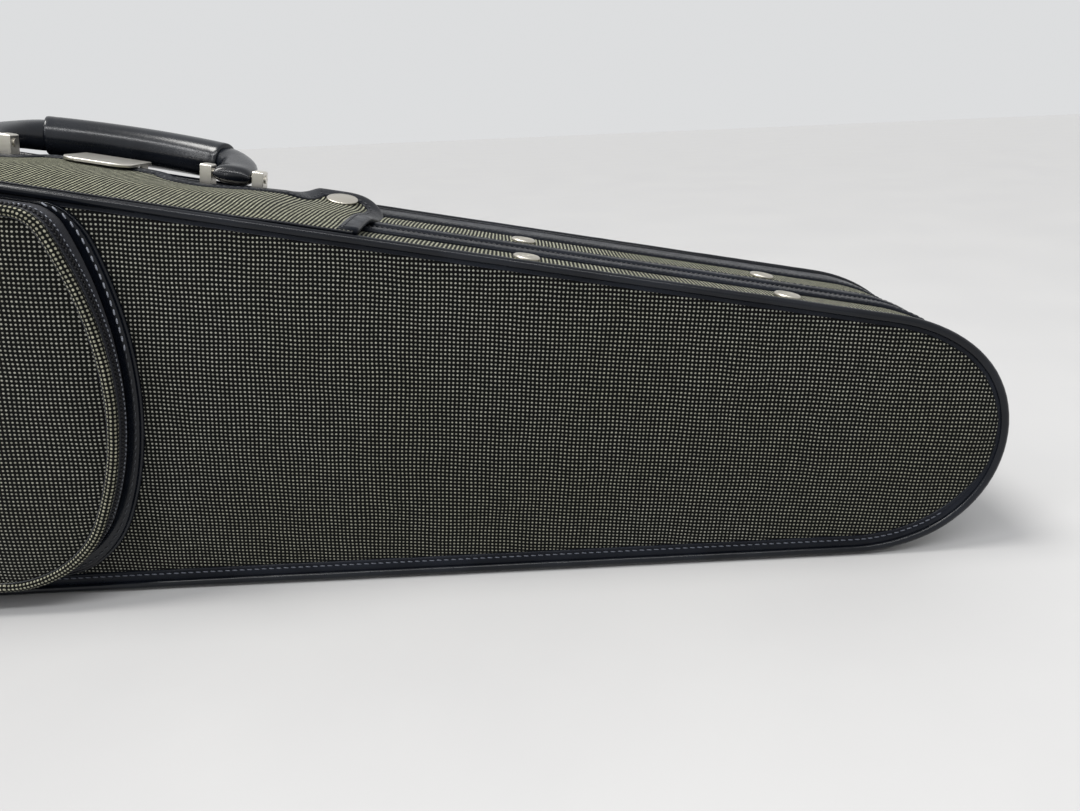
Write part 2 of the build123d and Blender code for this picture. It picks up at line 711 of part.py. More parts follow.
with BuildPart() as pocket_zip:
    add(pocket_band(-0.8, 0, POCKET_ZIP - 2.6, POCKET_ZIP + 2.6))
    add(pocket_band(-1.6, -0.8, POCKET_ZIP - 1.3, POCKET_ZIP + 1.3))

with BuildPart() as pocket_piping:
    add(pocket_band(-0.8, 4.0, POCKET_FRONT - 2.4, POCKET_FRONT + 2.4))
    fillet(pocket_piping.edges(), 2.3)

with BuildPart() as pocket_face:
    with BuildSketch(depth_plane(POCKET_FRONT)):
        add(pocket_shape(4.0))
    extrude(amount=1.6)

POCKET_SLIDER_X = -120.0
POCKET_SLIDER_H = -(POCKET_INSET - 1.6) + 0.3
POCKET_BAIL = POCKET_SLIDER_H + 2.9
with BuildPart(TOP) as pocket_slider:
    with Locations((POCKET_SLIDER_X, POCKET_ZIP, POCKET_SLIDER_H)):
        Box(10, 7, 1.6, align=(Align.CENTER, Align.CENTER, Align.MIN))
    fillet(pocket_slider.edges().filter_by(Axis(TOP.origin, TOP.z_dir)), 2.0)
    for end in (-1, 1):
        with Locations((POCKET_SLIDER_X + end * 3.7, POCKET_ZIP, POCKET_SLIDER_H + 1.6)):
            Box(1.2, 2.2, 2.0, align=(Align.CENTER, Align.CENTER, Align.MIN))
    with Locations((POCKET_SLIDER_X, POCKET_ZIP, POCKET_BAIL - 0.2)):
        Cylinder(BAIL_R, 6.8, rotation=(0, 90, 0))

with BuildPart() as pocket_pull:
    axis_h = POCKET_BAIL - 0.2
    with BuildSketch(TOP.offset(axis_h - 0.55)) as plate:
        with Locations((POCKET_SLIDER_X, POCKET_ZIP - 8.0)):
            Rectangle(6.0, 8.0)
        fillet(plate.vertices(), 1.6)
        with Locations((POCKET_SLIDER_X, POCKET_ZIP - 2.5)):
            Rectangle(4.0, 5.0)
    extrude(amount=1.1)
    with BuildSketch(Plane(TOP.from_local_coords((POCKET_SLIDER_X - 2.6, POCKET_ZIP, axis_h)), z_dir=TOP.x_dir)):
        Circle(EYE_R)
    extrude(amount=5.2)
    with BuildSketch(Plane(TOP.from_local_coords((POCKET_SLIDER_X - 5, POCKET_ZIP, axis_h)), z_dir=TOP.x_dir)):
        Circle(BAIL_R + RUN_FIT)
    extrude(amount=10, mode=Mode.SUBTRACT)

# ================================================================ inside the base
BOUT_LOW, BOUT_HIGH = 104.5, 86.0
BODY_LENGTH, INSTRUMENT = 358.0, 590.0
TAIL = 16.0  # gap from the wide end to the instrument
BOUT_ROOM = 2.5  # spare room round the instrument's two bouts
BED_TOP, BED_FLOOR = 56.0, 100.0


def long_plane(depth):
    """Plane at a depth with X along the case axis from the wide end and Y across it."""
    x, z = at(APEX + LENGTH, 0)
    return Plane(origin=(x, FRONT_Y + depth, z), x_dir=(cos(A), 0, -sin(A)), z_dir=(0, -1, 0))


BASE_FLOOR = CASE_DEPTH - 4 - PLATE
with BuildPart() as bed_floor:
    with BuildSketch(depth_plane(BED_FLOOR)):
        add(case_shape(INSIDE_INSET))
    extrude(amount=BED_FLOOR - BASE_FLOOR)

with BuildPart() as bed_wall:
    with BuildSketch(depth_plane(BED_TOP)):
        add(case_shape(INSIDE_INSET))
    extrude(amount=BED_TOP - BED_FLOOR)
    with BuildSketch(long_plane(BED_TOP)):
        with Locations((TAIL + BOUT_LOW, 0)):
            Circle(BOUT_LOW + BOUT_ROOM)
        with Locations((TAIL + BODY_LENGTH - BOUT_HIGH, 0)):
            Circle(BOUT_HIGH + BOUT_ROOM)
        with Locations((TAIL + (BOUT_LOW + BODY_LENGTH - BOUT_HIGH) / 2, 0)):
            Rectangle(BODY_LENGTH - BOUT_LOW - BOUT_HIGH, 130)
        with Locations((TAIL + (BODY_LENGTH + INSTRUMENT) / 2 - 20, 0)):
            Rectangle(INSTRUMENT - BODY_LENGTH + 40, 62)
    extrude(amount=BED_TOP - BED_FLOOR, mode=Mode.SUBTRACT)
    with BuildSketch(depth_plane(BED_TOP)):
        add(case_shape(INSIDE_INSET + 7))
        with BuildSketch(mode=Mode.PRIVATE) as well:
            x, z = at(APEX + 82, 0)
            with Locations((x, z)):
                Rectangle(150, 200, rotation=-HALF_TAPER)
        add(well.sketch, mode=Mode.INTERSECT)
    extrude(amount=BED_TOP - BED_FLOOR, mode=Mode.SUBTRACT)


def half_wall(side):
    """The wall round the hollows on one side of the case axis."""
    with BuildPart() as half:
        add(bed_wall.part)
        with BuildSketch(long_plane(BED_TOP)):
            with Locations((LENGTH / 2, side * 100)):
                Rectangle(LENGTH + 40, 200)
        extrude(amount=BED_TOP - BED_FLOOR, mode=Mode.INTERSECT)
    return half.part


with BuildPart() as bed_upper_wall:
    add(half_wall(1))
with BuildPart() as bed_lower_wall:
    add(half_wall(-1))

with BuildPart() as neck_rest:
    with BuildSketch(long_plane(74)):
        with Locations((TAIL + 458, 0)):
            Rectangle(36, 61.4)
    extrude(amount=74 - BED_FLOOR)
    with BuildSketch(Plane(long_plane(74).from_local_coords((TAIL + 430, 0, 0)), z_dir=(cos(A), 0, -sin(A)))):
        Circle(19)
    extrude(amount=60, mode=Mode.SUBTRACT)

with BuildPart() as suspension_pads:
    with BuildSketch(long_plane(BED_FLOOR - 9)) as pads:
        with Locations((TAIL + 46, 0), (TAIL + 296, 0)):
            Rectangle(44, 96)
        fillet(pads.vertices(), 8)
    extrude(amount=-9)

# ================================================================ bow holders in the lid
LID_FLOOR = 4 + PLATE
BOW_V = 70.0
BOW_AT = 150.0
with BuildPart() as bow_blocks:
    for side in (-1, 1):
        with BuildSketch(long_plane(LID_FLOOR + 10)) as foot:
            with Locations((BOW_AT, side * BOW_V)):
                Rectangle(40, 22)
            fillet(foot.vertices(), 4)
        extrude(amount=10)
        with BuildSketch(long_plane(LID_FLOOR + 10)):
            with Locations((BOW_AT, side * BOW_V)):
                Circle(3)
        extrude(amount=-5.4)
        with BuildSketch(long_plane(LID_FLOOR + 15.4)):
            with Locations((BOW_AT, side * BOW_V)):
                Circle(5)
        extrude(amount=-1.2)


def turn_button(side):
    """Bar that turns over the bow stick, held on its block by a flanged post."""
    with BuildPart() as button:
        with BuildSketch(long_plane(LID_FLOOR + 10.5)):
            with Locations((BOW_AT, side * BOW_V)):
                SlotOverall(42, 11, rotation=90)
                Circle(3 + RUN_FIT, mode=Mode.SUBTRACT)
        extrude(amount=-4.5)
    return button.part


with BuildPart() as upper_turn_button:
    add(turn_button(1))
with BuildPart() as lower_turn_button:
    add(turn_button(-1))

with BuildPart() as bow_tip_sleeves:
    for side in (-1, 1):
        with BuildSketch(long_plane(LID_FLOOR)):
            with Locations((LENGTH - 120, side * 28)):
                Rectangle(54, 28)
        extrude(amount=-16)
        with BuildSketch(long_plane(LID_FLOOR + 2)):
            with Locations((LENGTH - 122, side * 28)):
                Rectangle(54, 24)
        extrude(amount=-12, mode=Mode.SUBTRACT)

# ================================================================ names and files
PARTS = {
    "base_shell": base_shell,
    "base_lining": base_lining,
    "base_side_cover": base_side_cover,
    "base_back_cover": base_back_cover,
    "base_far_strip": base_far_strip,
    "base_face_strip": base_face_strip,
    "base_rim_bead": base_rim_bead,
    "base_zip_edging": base_zip_edging,
    "base_zip_tape": base_zip_tape,
    "base_zip_teeth": base_zip_teeth,
    "base_hinge_leaves": base_hinge_leaves,
    "hinge_pins": hinge_pins,
    "spine_feet": spine_feet,
    "base_studs": base_studs,
    "snap_sockets": snap_sockets,
    "latch_body": latch_body,
    "handle_brackets": handle_brackets,
    "handle_pins": handle_pins,
    "bed_floor": bed_floor,
    "bed_upper_wall": bed_upper_wall,
    "bed_lower_wall": bed_lower_wall,
    "neck_rest": neck_rest,
    "suspension_pads": suspension_pads,
    "lid_shell": lid_shell,
    "lid_lining": lid_lining,
    "lid_side_cover": lid_side_cover,
    "lid_face_cover": lid_face_cover,
    "lid_face_strip": lid_face_strip,
    "lid_rim_bead": lid_rim_bead,
    "lid_zip_edging": lid_zip_edging,
    "lid_zip_tape": lid_zip_tape,
    "lid_zip_teeth": lid_zip_teeth,
    "lid_hinge_leaves": lid_hinge_leaves,
    "lid_feet": lid_feet,
    "lid_studs": lid_studs,
    "pocket_trim": pocket_trim,
    "pocket_gusset": pocket_gusset,
    "pocket_zip": pocket_zip,
    "pocket_piping": pocket_piping,
    "pocket_face": pocket_face,
    "pocket_slider": pocket_slider,
    "pocket_pull": pocket_pull,
    "bow_blocks": bow_blocks,
    "bow_tip_sleeves": bow_tip_sleeves,
    "upper_turn_button": upper_turn_button,
    "lower_turn_button": lower_turn_button,
    "flap_panel": flap_panel,
    "flap_binding": flap_binding,
    "snap_caps": snap_caps,
    "latch_plate": latch_plate,
    "handle_core": handle_core,
    "handle_grip": handle_grip,
    "handle_ends": handle_ends,
    "right_slider": right_slider,
    "right_pull": right_pull,
    "left_slider": left_slider,
    "left_pull": left_pull,
}
for name, piece in PARTS.items():
    piece.part.label = name
    export_step(piece.part, f"parts/{name}.step")
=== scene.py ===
"""Looks of the violin case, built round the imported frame. Lengths are millimetres until a mesh is made."""
import math

import bmesh
import bpy
import numpy as np
from mathutils import Matrix, Vector


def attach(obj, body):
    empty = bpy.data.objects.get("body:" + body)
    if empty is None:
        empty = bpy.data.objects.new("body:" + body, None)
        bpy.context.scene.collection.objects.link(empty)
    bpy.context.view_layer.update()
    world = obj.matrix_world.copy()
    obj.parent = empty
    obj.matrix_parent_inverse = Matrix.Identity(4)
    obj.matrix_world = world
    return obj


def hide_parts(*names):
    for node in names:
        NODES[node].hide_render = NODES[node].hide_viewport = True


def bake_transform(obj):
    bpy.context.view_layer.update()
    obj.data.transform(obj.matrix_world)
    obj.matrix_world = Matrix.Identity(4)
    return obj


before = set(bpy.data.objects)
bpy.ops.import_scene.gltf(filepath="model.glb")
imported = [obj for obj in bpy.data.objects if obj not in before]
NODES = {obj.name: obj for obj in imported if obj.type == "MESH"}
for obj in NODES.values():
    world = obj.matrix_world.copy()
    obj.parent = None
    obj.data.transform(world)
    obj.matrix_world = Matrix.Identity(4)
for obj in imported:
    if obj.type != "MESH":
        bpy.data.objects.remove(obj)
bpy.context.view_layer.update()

MM = 0.001

# ------------------------------------------------------------------ case geometry, as in the CAD
A = math.radians(5.415)
APEX, LENGTH = 598.8, 780.0
TIP_CORNER, TIP_SWEEP = 88.0, 59.0  # rounding beside the tip, and half the turn of the tip's own arc
END_CORNER, END_SWEEP = 78.0, 34.0  # the same at the wide end
FY, FOOT, SPLIT, DEPTH = -56.2, 1.0, 46.0, 120.0
STRIP = 10.2  # width of the vinyl strip in the CAD
LID_RADIUS, BACK_RADIUS = 600.0, 1100.0
HANDLE_X = -58.4
S2 = 2 * A
SIN, COS = math.sin(S2), math.cos(S2)


def end_arc(apex, corner, sweep, side):
    """Radius and centre of a rounded end, and the place of the corner arcs beside it."""
    s = math.radians(sweep)
    run = math.tan(A) * (apex + side * corner) - corner / math.cos(A)
    q = run / (math.sin(s) + side * math.tan(A) * (math.cos(s) - 1))
    big = q + corner
    return big, apex + side * big, apex + side * (big - q * math.cos(s)), q * math.sin(s)


TIP_R, TIP_C, TIP_KU, TIP_KV = end_arc(APEX, TIP_CORNER, TIP_SWEEP, 1)
END_R, END_C, END_KU, END_KV = end_arc(APEX + LENGTH, END_CORNER, END_SWEEP, -1)
MEET_X = ((TIP_C + END_C) * math.cos(A) - TIP_R + END_R) / 2


def at(u, v):
    """Point of the rim plane, as X and Z, from distances along and across the case axis."""
    return np.array([MEET_X - u * math.cos(A) + v * math.sin(A), FOOT + u * math.sin(A) + v * math.cos(A)])


SPINE_LEFT = MEET_X - (END_KU + END_CORNER * math.sin(A)) * math.cos(A) + 10
SPINE_RIGHT = MEET_X - TIP_KU * math.cos(A) - 30
TOP_O = np.array([HANDLE_X, FY, FOOT + (MEET_X - HANDLE_X) * math.tan(S2)])
TOP_X, TOP_Y, TOP_Z = np.array([COS, 0, -SIN]), np.array([0, 1.0, 0]), np.array([SIN, 0, COS])


def top(x, depth, h):
    """Points on the latch side: along the case, depth from the lid's rim, height above the rim line."""
    x, depth, h = np.broadcast_arrays(np.asarray(x, float), np.asarray(depth, float), np.asarray(h, float))
    return TOP_O + x[..., None] * TOP_X + depth[..., None] * TOP_Y + h[..., None] * TOP_Z


class Path:
    """Closed outline from arcs joined by straights: points, outward normals and running length."""

    def __init__(self, arcs, step=5.0, closed=True):
        pts, nrm = [], []
        for c, r, a0, a1 in arcs:
            n = max(2, int(abs(math.radians(a1 - a0)) * max(r, 20) / step) + 1)
            ang = np.radians(np.linspace(a0, a1, n + 1))
            arc_n = np.stack([np.cos(ang), np.sin(ang)], 1)
            arc_p = np.asarray(c) + r * arc_n
            if pts:
                self._join(pts, nrm, arc_p[0], arc_n[0], step)
            pts.extend(arc_p)
            nrm.extend(arc_n)
        if closed:
            self._join(pts, nrm, pts[0], nrm[0], step)
        self.closed = closed
        self.p, self.n = np.array(pts), np.array(nrm)
        keep = [0]
        for i in range(1, len(self.p)):
            if np.linalg.norm(self.p[i] - self.p[keep[-1]]) > 0.05:
                keep.append(i)
        if closed and np.linalg.norm(self.p[keep[-1]] - self.p[0]) < 0.05:
            keep.pop()
        self.p, self.n = self.p[keep], self.n[keep]
        nxt = np.roll(self.p, -1, 0)
        seg = np.linalg.norm(nxt - self.p, axis=1)
        self.s = np.concatenate([[0], np.cumsum(seg)])
        self.total = self.s[-1] if closed else self.s[-2]

    @staticmethod
    def _join(pts, nrm, goal, goal_n, step):
        a, b = pts[-1], goal
        n = int(np.linalg.norm(b - a) / step)
        for i in range(1, n):
            pts.append(a + (b - a) * i / n)
            nrm.append(goal_n)

    def offset(self, inset):
        return self.p - np.asarray(inset)[..., None] * self.n

    def walk(self, pitch, inset=0.0, start=0.0, stop=None):
        """Evenly spaced places along the outline: point, normal and tangent."""
        stop = self.total if stop is None else stop
        q = self.offset(inset)
        loop = np.vstack([q, q[:1]]) if self.closed else q
        nn = np.vstack([self.n, self.n[:1]]) if self.closed else self.n
        s = self.s if self.closed else self.s[:-1]
        count = max(2, int(round((stop - start) / pitch)))
        t = start + (np.arange(count) + 0.5) * (stop - start) / count
        p = np.stack([np.interp(t, s, loop[:, k]) for k in (0, 1)], 1)
        n = np.stack([np.interp(t, s, nn[:, k]) for k in (0, 1)], 1)
        n /= np.linalg.norm(n, axis=1)[:, None]
        return p, n, t


LOW = math.degrees(A)
CASE = Path(
    [
        (at(TIP_KU, -TIP_KV), TIP_CORNER, -90, -LOW - TIP_SWEEP),
        (at(TIP_C, 0), TIP_R, -LOW - TIP_SWEEP, -LOW + TIP_SWEEP),
        (at(TIP_KU, TIP_KV), TIP_CORNER, TIP_SWEEP - LOW, 90 - 2 * LOW),
        (at(END_KU, END_KV), END_CORNER, 90 - 2 * LOW, 180 - END_SWEEP - LOW),
        (at(END_C, 0), END_R, 180 - END_SWEEP - LOW, 180 + END_SWEEP - LOW),
        (at(END_KU, -END_KV), END_CORNER, 180 + END_SWEEP - LOW, 270),
    ]
)


def half_width(u):
    """Half width used for the crown of the faces."""
    u = np.asarray(u, float)
    side = u * math.tan(A)
    for d, reach, power in ((u - APEX, 85.0, 2.6), (APEX + LENGTH - u, 110.0, 2.8)):
        f = np.clip(1 - d / reach, 0, 1)
        side = side * (1 - np.minimum(f, 0.99999) ** power) ** (1 / power)
    return side


def uv_of(x, z):
    """Distances along and across the case axis."""
    dx, dz = MEET_X - x, z - FOOT
    return dx * math.cos(A) + dz * math.sin(A), dz * math.cos(A) - dx * math.sin(A)


def soft_min(a, b, sharp=4.0):
    """The smaller of two values, eased where they cross."""
    return b - np.log1p(np.exp(np.clip(-sharp * (a - b), -60, 60))) / sharp


def crown(x, z, radius=LID_RADIUS):
    """Depth of a domed face from its own rim plane."""
    u, v = uv_of(x, z)
    inner = half_width(u) - STRIP
    return soft_min(1.6 - (inner * np.abs(inner) - v * v) / (2 * radius), 1.2)


def smooth(t):
    """Eased step from 0 to 1."""
    t = np.clip(t, 0, 1)
    return t * t * (3 - 2 * t)


WIDE = smooth((-CASE.n[:, 1] - 0.15) / 0.7)  # 1 along the hinge side, 0 round the tip and the latch side
INNER = 5.9 + 4.4 * WIDE  # inner edge of the vinyl strip on both faces


def inner_at(s):
    """INNER at running lengths of the case outline."""
    loop_s = np.append(CASE.s[:-1], CASE.total)
    return np.interp(np.mod(s, CASE.total), loop_s, np.append(INNER, INNER[0]))


# ------------------------------------------------------------------ mesh helpers
def wave(s, seed, length=60.0):
    """Smooth deterministic wobble along a running length."""
    k = np.random.RandomState(seed).rand(5, 2)
    out = 0
    for i in range(5):
        out = out + np.sin(2 * math.pi * s / (length * (0.35 + 1.3 * k[i, 0])) + 6.28 * k[i, 1])
    return out / 5


class Build:
    """Collects vertices, faces, flat coordinates and material numbers for one object."""

    def __init__(self):
        self.v, self.f, self.uv, self.m, self.n = [], [], [], [], 0

    def add(self, verts, faces, uvs=None, mat=0):
        verts = np.asarray(verts, float).reshape(-1, 3)
        self.v.append(verts)
        for k, f in enumerate(faces):
            self.f.append(tuple(self.n + i for i in f))
            self.uv.append(uvs[k] if uvs is not None else [(verts[i][0], verts[i][2]) for i in f])
            self.m.append(mat)
        self.n += len(verts)

    def grid(self, p, uv=None, close_i=False, close_j=False, cap_i=False, mat=0):
        """Quads over an array of points (rows, columns, 3)."""
        ni, nj = p.shape[:2]
        faces, uvs = [], []
        for i in range(ni if close_i else ni - 1):
            i2 = (i + 1) % ni
            for j in range(nj if close_j else nj - 1):
                j2 = (j + 1) % nj
                faces.append((i * nj + j, i2 * nj + j, i2 * nj + j2, i * nj + j2))
                if uv is not None:
                    uvs.append([uv[i, j], uv[i + 1, j], uv[i + 1, j + 1], uv[i, j + 1]])
        if cap_i:
            for row in (0, ni - 1):
                faces.append(tuple(row * nj + j for j in range(nj)))
                if uv is not None:
                    uvs.append([uv[row, j] for j in range(nj)])
        self.add(p.reshape(-1, 3), faces, uvs if uv is not None else None, mat)

    def make(self, name, mats, smooth=True, weld=0.0):
        """The object itself, in metres, with its normals turned outwards."""
        me = bpy.data.meshes.new(name)
        verts = np.vstack(self.v) * MM
        me.from_pydata(verts.tolist(), [], self.f)
        layer = me.uv_layers.new(name="flat")
        flat = np.array([c for face in self.uv for c in face], float).reshape(-1)
        layer.data.foreach_set("uv", flat)
        me.polygons.foreach_set("material_index", self.m)
        me.polygons.foreach_set("use_smooth", [smooth] * len(self.f))
        bm = bmesh.new()
        bm.from_mesh(me)
        if weld:
            bmesh.ops.remove_doubles(bm, verts=bm.verts, dist=weld * MM)
        bmesh.ops.recalc_face_normals(bm, faces=bm.faces)
        bm.to_mesh(me)
        bm.free()
        me.update()
        ob = bpy.data.objects.new(name, me)
        bpy.context.scene.collection.objects.link(ob)
        for mt in mats:
            me.materials.append(mt)
        return ob


def lift3(p2, depth):
    """Outline points and depths to space."""
    p2 = np.asarray(p2)
    y = FY + np.broadcast_to(np.asarray(depth, float), p2.shape[:-1])
    return np.stack([p2[..., 0], y, p2[..., 1]], -1)


def sweep(build, path, profile, mat=0, wobble=None, span=None):
    """Closed profile of (inset, depth) run round an outline, left out at the hinges between span's limits."""
    prof = np.array(profile, float)
    ring = np.linalg.norm(np.roll(prof, -1, 0) - prof, axis=1)
    along = np.concatenate([[0], np.cumsum(ring)])
    n = len(path.p)
    idx = np.arange(n)
    closed = path.closed
    s = path.s[: n + 1].copy()
    if span is not None:
        low = path.n[:, 1] < -0.3
        out = low & (path.p[:, 0] > span[0]) & (path.p[:, 0] < span[1])
        order = np.roll(idx, -int(np.where(out & ~np.roll(out, -1))[0][0]) - 1)
        idx = np.array([i for i in order if not out[i]])
        closed = False
        s = np.concatenate([path.s[idx], [0]])
        s[: len(idx)] = np.where(s[: len(idx)] < s[0], s[: len(idx)] + path.total, s[: len(idx)])
    pts, nrm = path.p[idx], path.n[idx]
    inset = np.tile(prof[:, 0], (len(idx), 1))
    depth = np.tile(prof[:, 1], (len(idx), 1))
    if wobble is not None:
        di, dd = wobble(s[: len(idx)], prof)
        inset, depth = inset + di, depth + dd
    p2 = pts[:, None, :] - inset[..., None] * nrm[:, None, :]
    p = lift3(p2, depth)
    rows = len(idx) + (1 if closed else 0)
    uv = np.zeros((rows, len(prof) + 1, 2))
    uv[..., 0] = s[:rows, None]
    uv[..., 1] = along[None, :]
    build.grid(p, uv, close_i=closed, close_j=True, cap_i=not closed, mat=mat)


def directions(n):
    """Unit vectors along an outline, out of it and across the case, from its flat normals."""
    along = np.stack([-n[:, 1], 0 * n[:, 0], n[:, 0]], 1)
    out = np.stack([n[:, 0], 0 * n[:, 0], n[:, 1]], 1)
    return along, out, np.tile([0, 1.0, 0], (len(n), 1))


def oval(inset, depth, across, deep, count):
    """Closed round profile about a point."""
    turns = np.linspace(0, 2 * math.pi, count + 1)[:-1]
    return [(inset - across * math.cos(t), depth + deep * math.sin(t)) for t in turns]


def strip_uv(along, count, pitch=1.0):
    """Flat coordinates of a grid: the length along it, and the places round its closed section."""
    uv = np.zeros((len(along), count + 1, 2))
    uv[..., 0] = np.asarray(along)[:, None]
    uv[..., 1] = np.arange(count + 1)[None, :] * pitch
    return uv


def ripple(size, seed, length, share):
    """Wobble for a sweep that moves its profile in and out, each point by its share."""

    def wob(s, prof):
        q = np.array([share(inset, depth) for inset, depth in prof])
        return (size * wave(s, seed, length))[:, None] * q, 0 * s[:, None] * q

    return wob


def spaced(length, pitch):
    """Even places along a length, half a step in from its ends."""
    count = int(length / pitch)
    return (np.arange(count) + 0.5) * length / count


def columns_at(t, s, table):
    """Rows of a table of two columns, read at lengths t along s."""
    return np.stack([np.interp(t, s, table[:, k]) for k in (0, 1)], 1)


def unit(rows):
    return rows / np.linalg.norm(rows, axis=1)[:, None]


def beads(build, centre, along, side, up, size, mat=1, seg=6, tilt=0.0):
    """Small rounded stitches or teeth at many places. size is half length, half width, half height."""
    a, b, c = size
    ring = []
    for t, r in ((-1.0, 0.35), (-0.72, 0.86), (0.0, 1.0), (0.72, 0.86), (1.0, 0.35)):
        for k in range(seg):
            w = 2 * math.pi * (k + 0.5) / seg
            ring.append((t * a, r * b * math.cos(w), r * c * math.sin(w)))
    ring = np.array(ring)
    rows = 5
    faces = []
    for i in range(rows - 1):
        for k in range(seg):
            k2 = (k + 1) % seg
            faces.append((i * seg + k, (i + 1) * seg + k, (i + 1) * seg + k2, i * seg + k2))
    faces.append(tuple(range(seg)))
    faces.append(tuple((rows - 1) * seg + k for k in range(seg)))
    for i in range(len(centre)):
        d = along[i] + tilt * side[i]
        d = d / np.linalg.norm(d)
        w = side[i] - np.dot(side[i], d) * d
        w = w / np.linalg.norm(w)
        v = centre[i] + ring[:, :1] * d + ring[:, 1:2] * w + ring[:, 2:3] * up[i]
        build.add(v, faces, None, mat)


def rim_stitches(build, path, inset, depth, pitch, size, face=True, mat=1, span=None, where=None):
    """A row of stitches along an outline, lying on a face (face=True) or on the side wall."""
    p, n, _ = path.walk(pitch, inset)
    if span is not None:
        keep = ~((n[:, 1] < -0.3) & (p[:, 0] > span[0]) & (p[:, 0] < span[1]))
        p, n = p[keep], n[keep]
    if where is not None:
        keep = where(n)
        p, n = p[keep], n[keep]
    along, out, across = directions(n)
    side, up = (out, across) if face else (across, out)
    beads(build, lift3(p, depth), along, side, up, size, mat, tilt=0.10)


# ------------------------------------------------------------------ materials
class Mat:
    """A material under construction: its node tree, and short ways to add the nodes used here."""

    def __init__(self, name):
        self.m = bpy.data.materials.new(name)
        self.m.use_nodes = True
        self.t = self.m.node_tree
        self.b = self.t.nodes["Principled BSDF"]

    def new(self, kind, **values):
        n = self.t.nodes.new(kind)
        for k, v in values.items():
            setattr(n, k, v)
        return n

    def link(self, a, b):
        self.t.links.new(a, b)

    def into(self, socket, value):
        """Drives one of the surface's own sockets."""
        self.link(value, self.b.inputs[socket])

    def op(self, operation, a, b=None, c=None):
        n = self.new("ShaderNodeMath", operation=operation)
        for i, v in enumerate((a, b, c)):
            if v is None:
                continue
            if isinstance(v, (int, float)):
                n.inputs[i].default_value = v
            else:
                self.link(v, n.inputs[i])
        return n.outputs[0]

    def vec(self, operation, a, b=None, scale=None):
        n = self.new("ShaderNodeVectorMath", operation=operation)
        self.link(a, n.inputs[0])
        if b is not None:
            if isinstance(b, tuple):
                n.inputs[1].default_value = b
            else:
                self.link(b, n.inputs[1])
        if scale is not None:
            n.inputs["Scale"].default_value = scale
        return n

    def ramp(self, value, lo, hi, to0=0.0, to1=1.0, smooth=True):
        n = self.new("ShaderNodeMapRange", interpolation_type="SMOOTHSTEP" if smooth else "LINEAR")
        self.link(value, n.inputs[0])
        for i, v in ((1, lo), (2, hi), (3, to0), (4, to1)):
            n.inputs[i].default_value = v
        return n.outputs[0]

    def mix(self, factor, a, b):
        n = self.new("ShaderNodeMix", data_type="RGBA")
        for slot, v in ((0, factor), (6, a), (7, b)):
            if isinstance(v, (tuple, int, float)):
                n.inputs[slot].default_value = v if not isinstance(v, tuple) else (*v, 1.0)[:4]
            else:
                self.link(v, n.inputs[slot])
        return n.outputs[2]

    def noise(self, coord, scale, detail=3.0, rough=0.5):
        n = self.new("ShaderNodeTexNoise")
        n.inputs["Scale"].default_value = scale
        n.inputs["Detail"].default_value = detail
        n.inputs["Roughness"].default_value = rough
        self.link(coord, n.inputs["Vector"])
        return n.outputs[0]

    def bump(self, height, distance, strength=1.0):
        n = self.new("ShaderNodeBump")
        n.inputs["Distance"].default_value = distance
        n.inputs["Strength"].default_value = strength
        self.link(height, n.inputs["Height"])
        self.into("Normal", n.outputs[0])

    def coords(self):
        return self.new("ShaderNodeTexCoord").outputs["Object"]

    def stretched(self, coord, scale, detail, rough=0.5):
        """Noise drawn out along X, for brushed metal or wood grain."""
        n = self.new("ShaderNodeMapping")
        n.inputs["Scale"].default_value = scale
        self.link(coord, n.inputs["Vector"])
        return self.noise(n.outputs[0], 1.0, detail, rough)

    def flat(self):
        return self.new("ShaderNodeUVMap", uv_map="flat").outputs[0]

    def set(self, **k):
        for n, v in k.items():
            self.b.inputs[n.replace("_", " ")].default_value = v


def lighter(color, by, more=0.0):
    """The second tone of a colour; by under 1 makes it darker."""
    return tuple(min(1.0, v * by + more) for v in color)


DOT_PITCH = 1.95


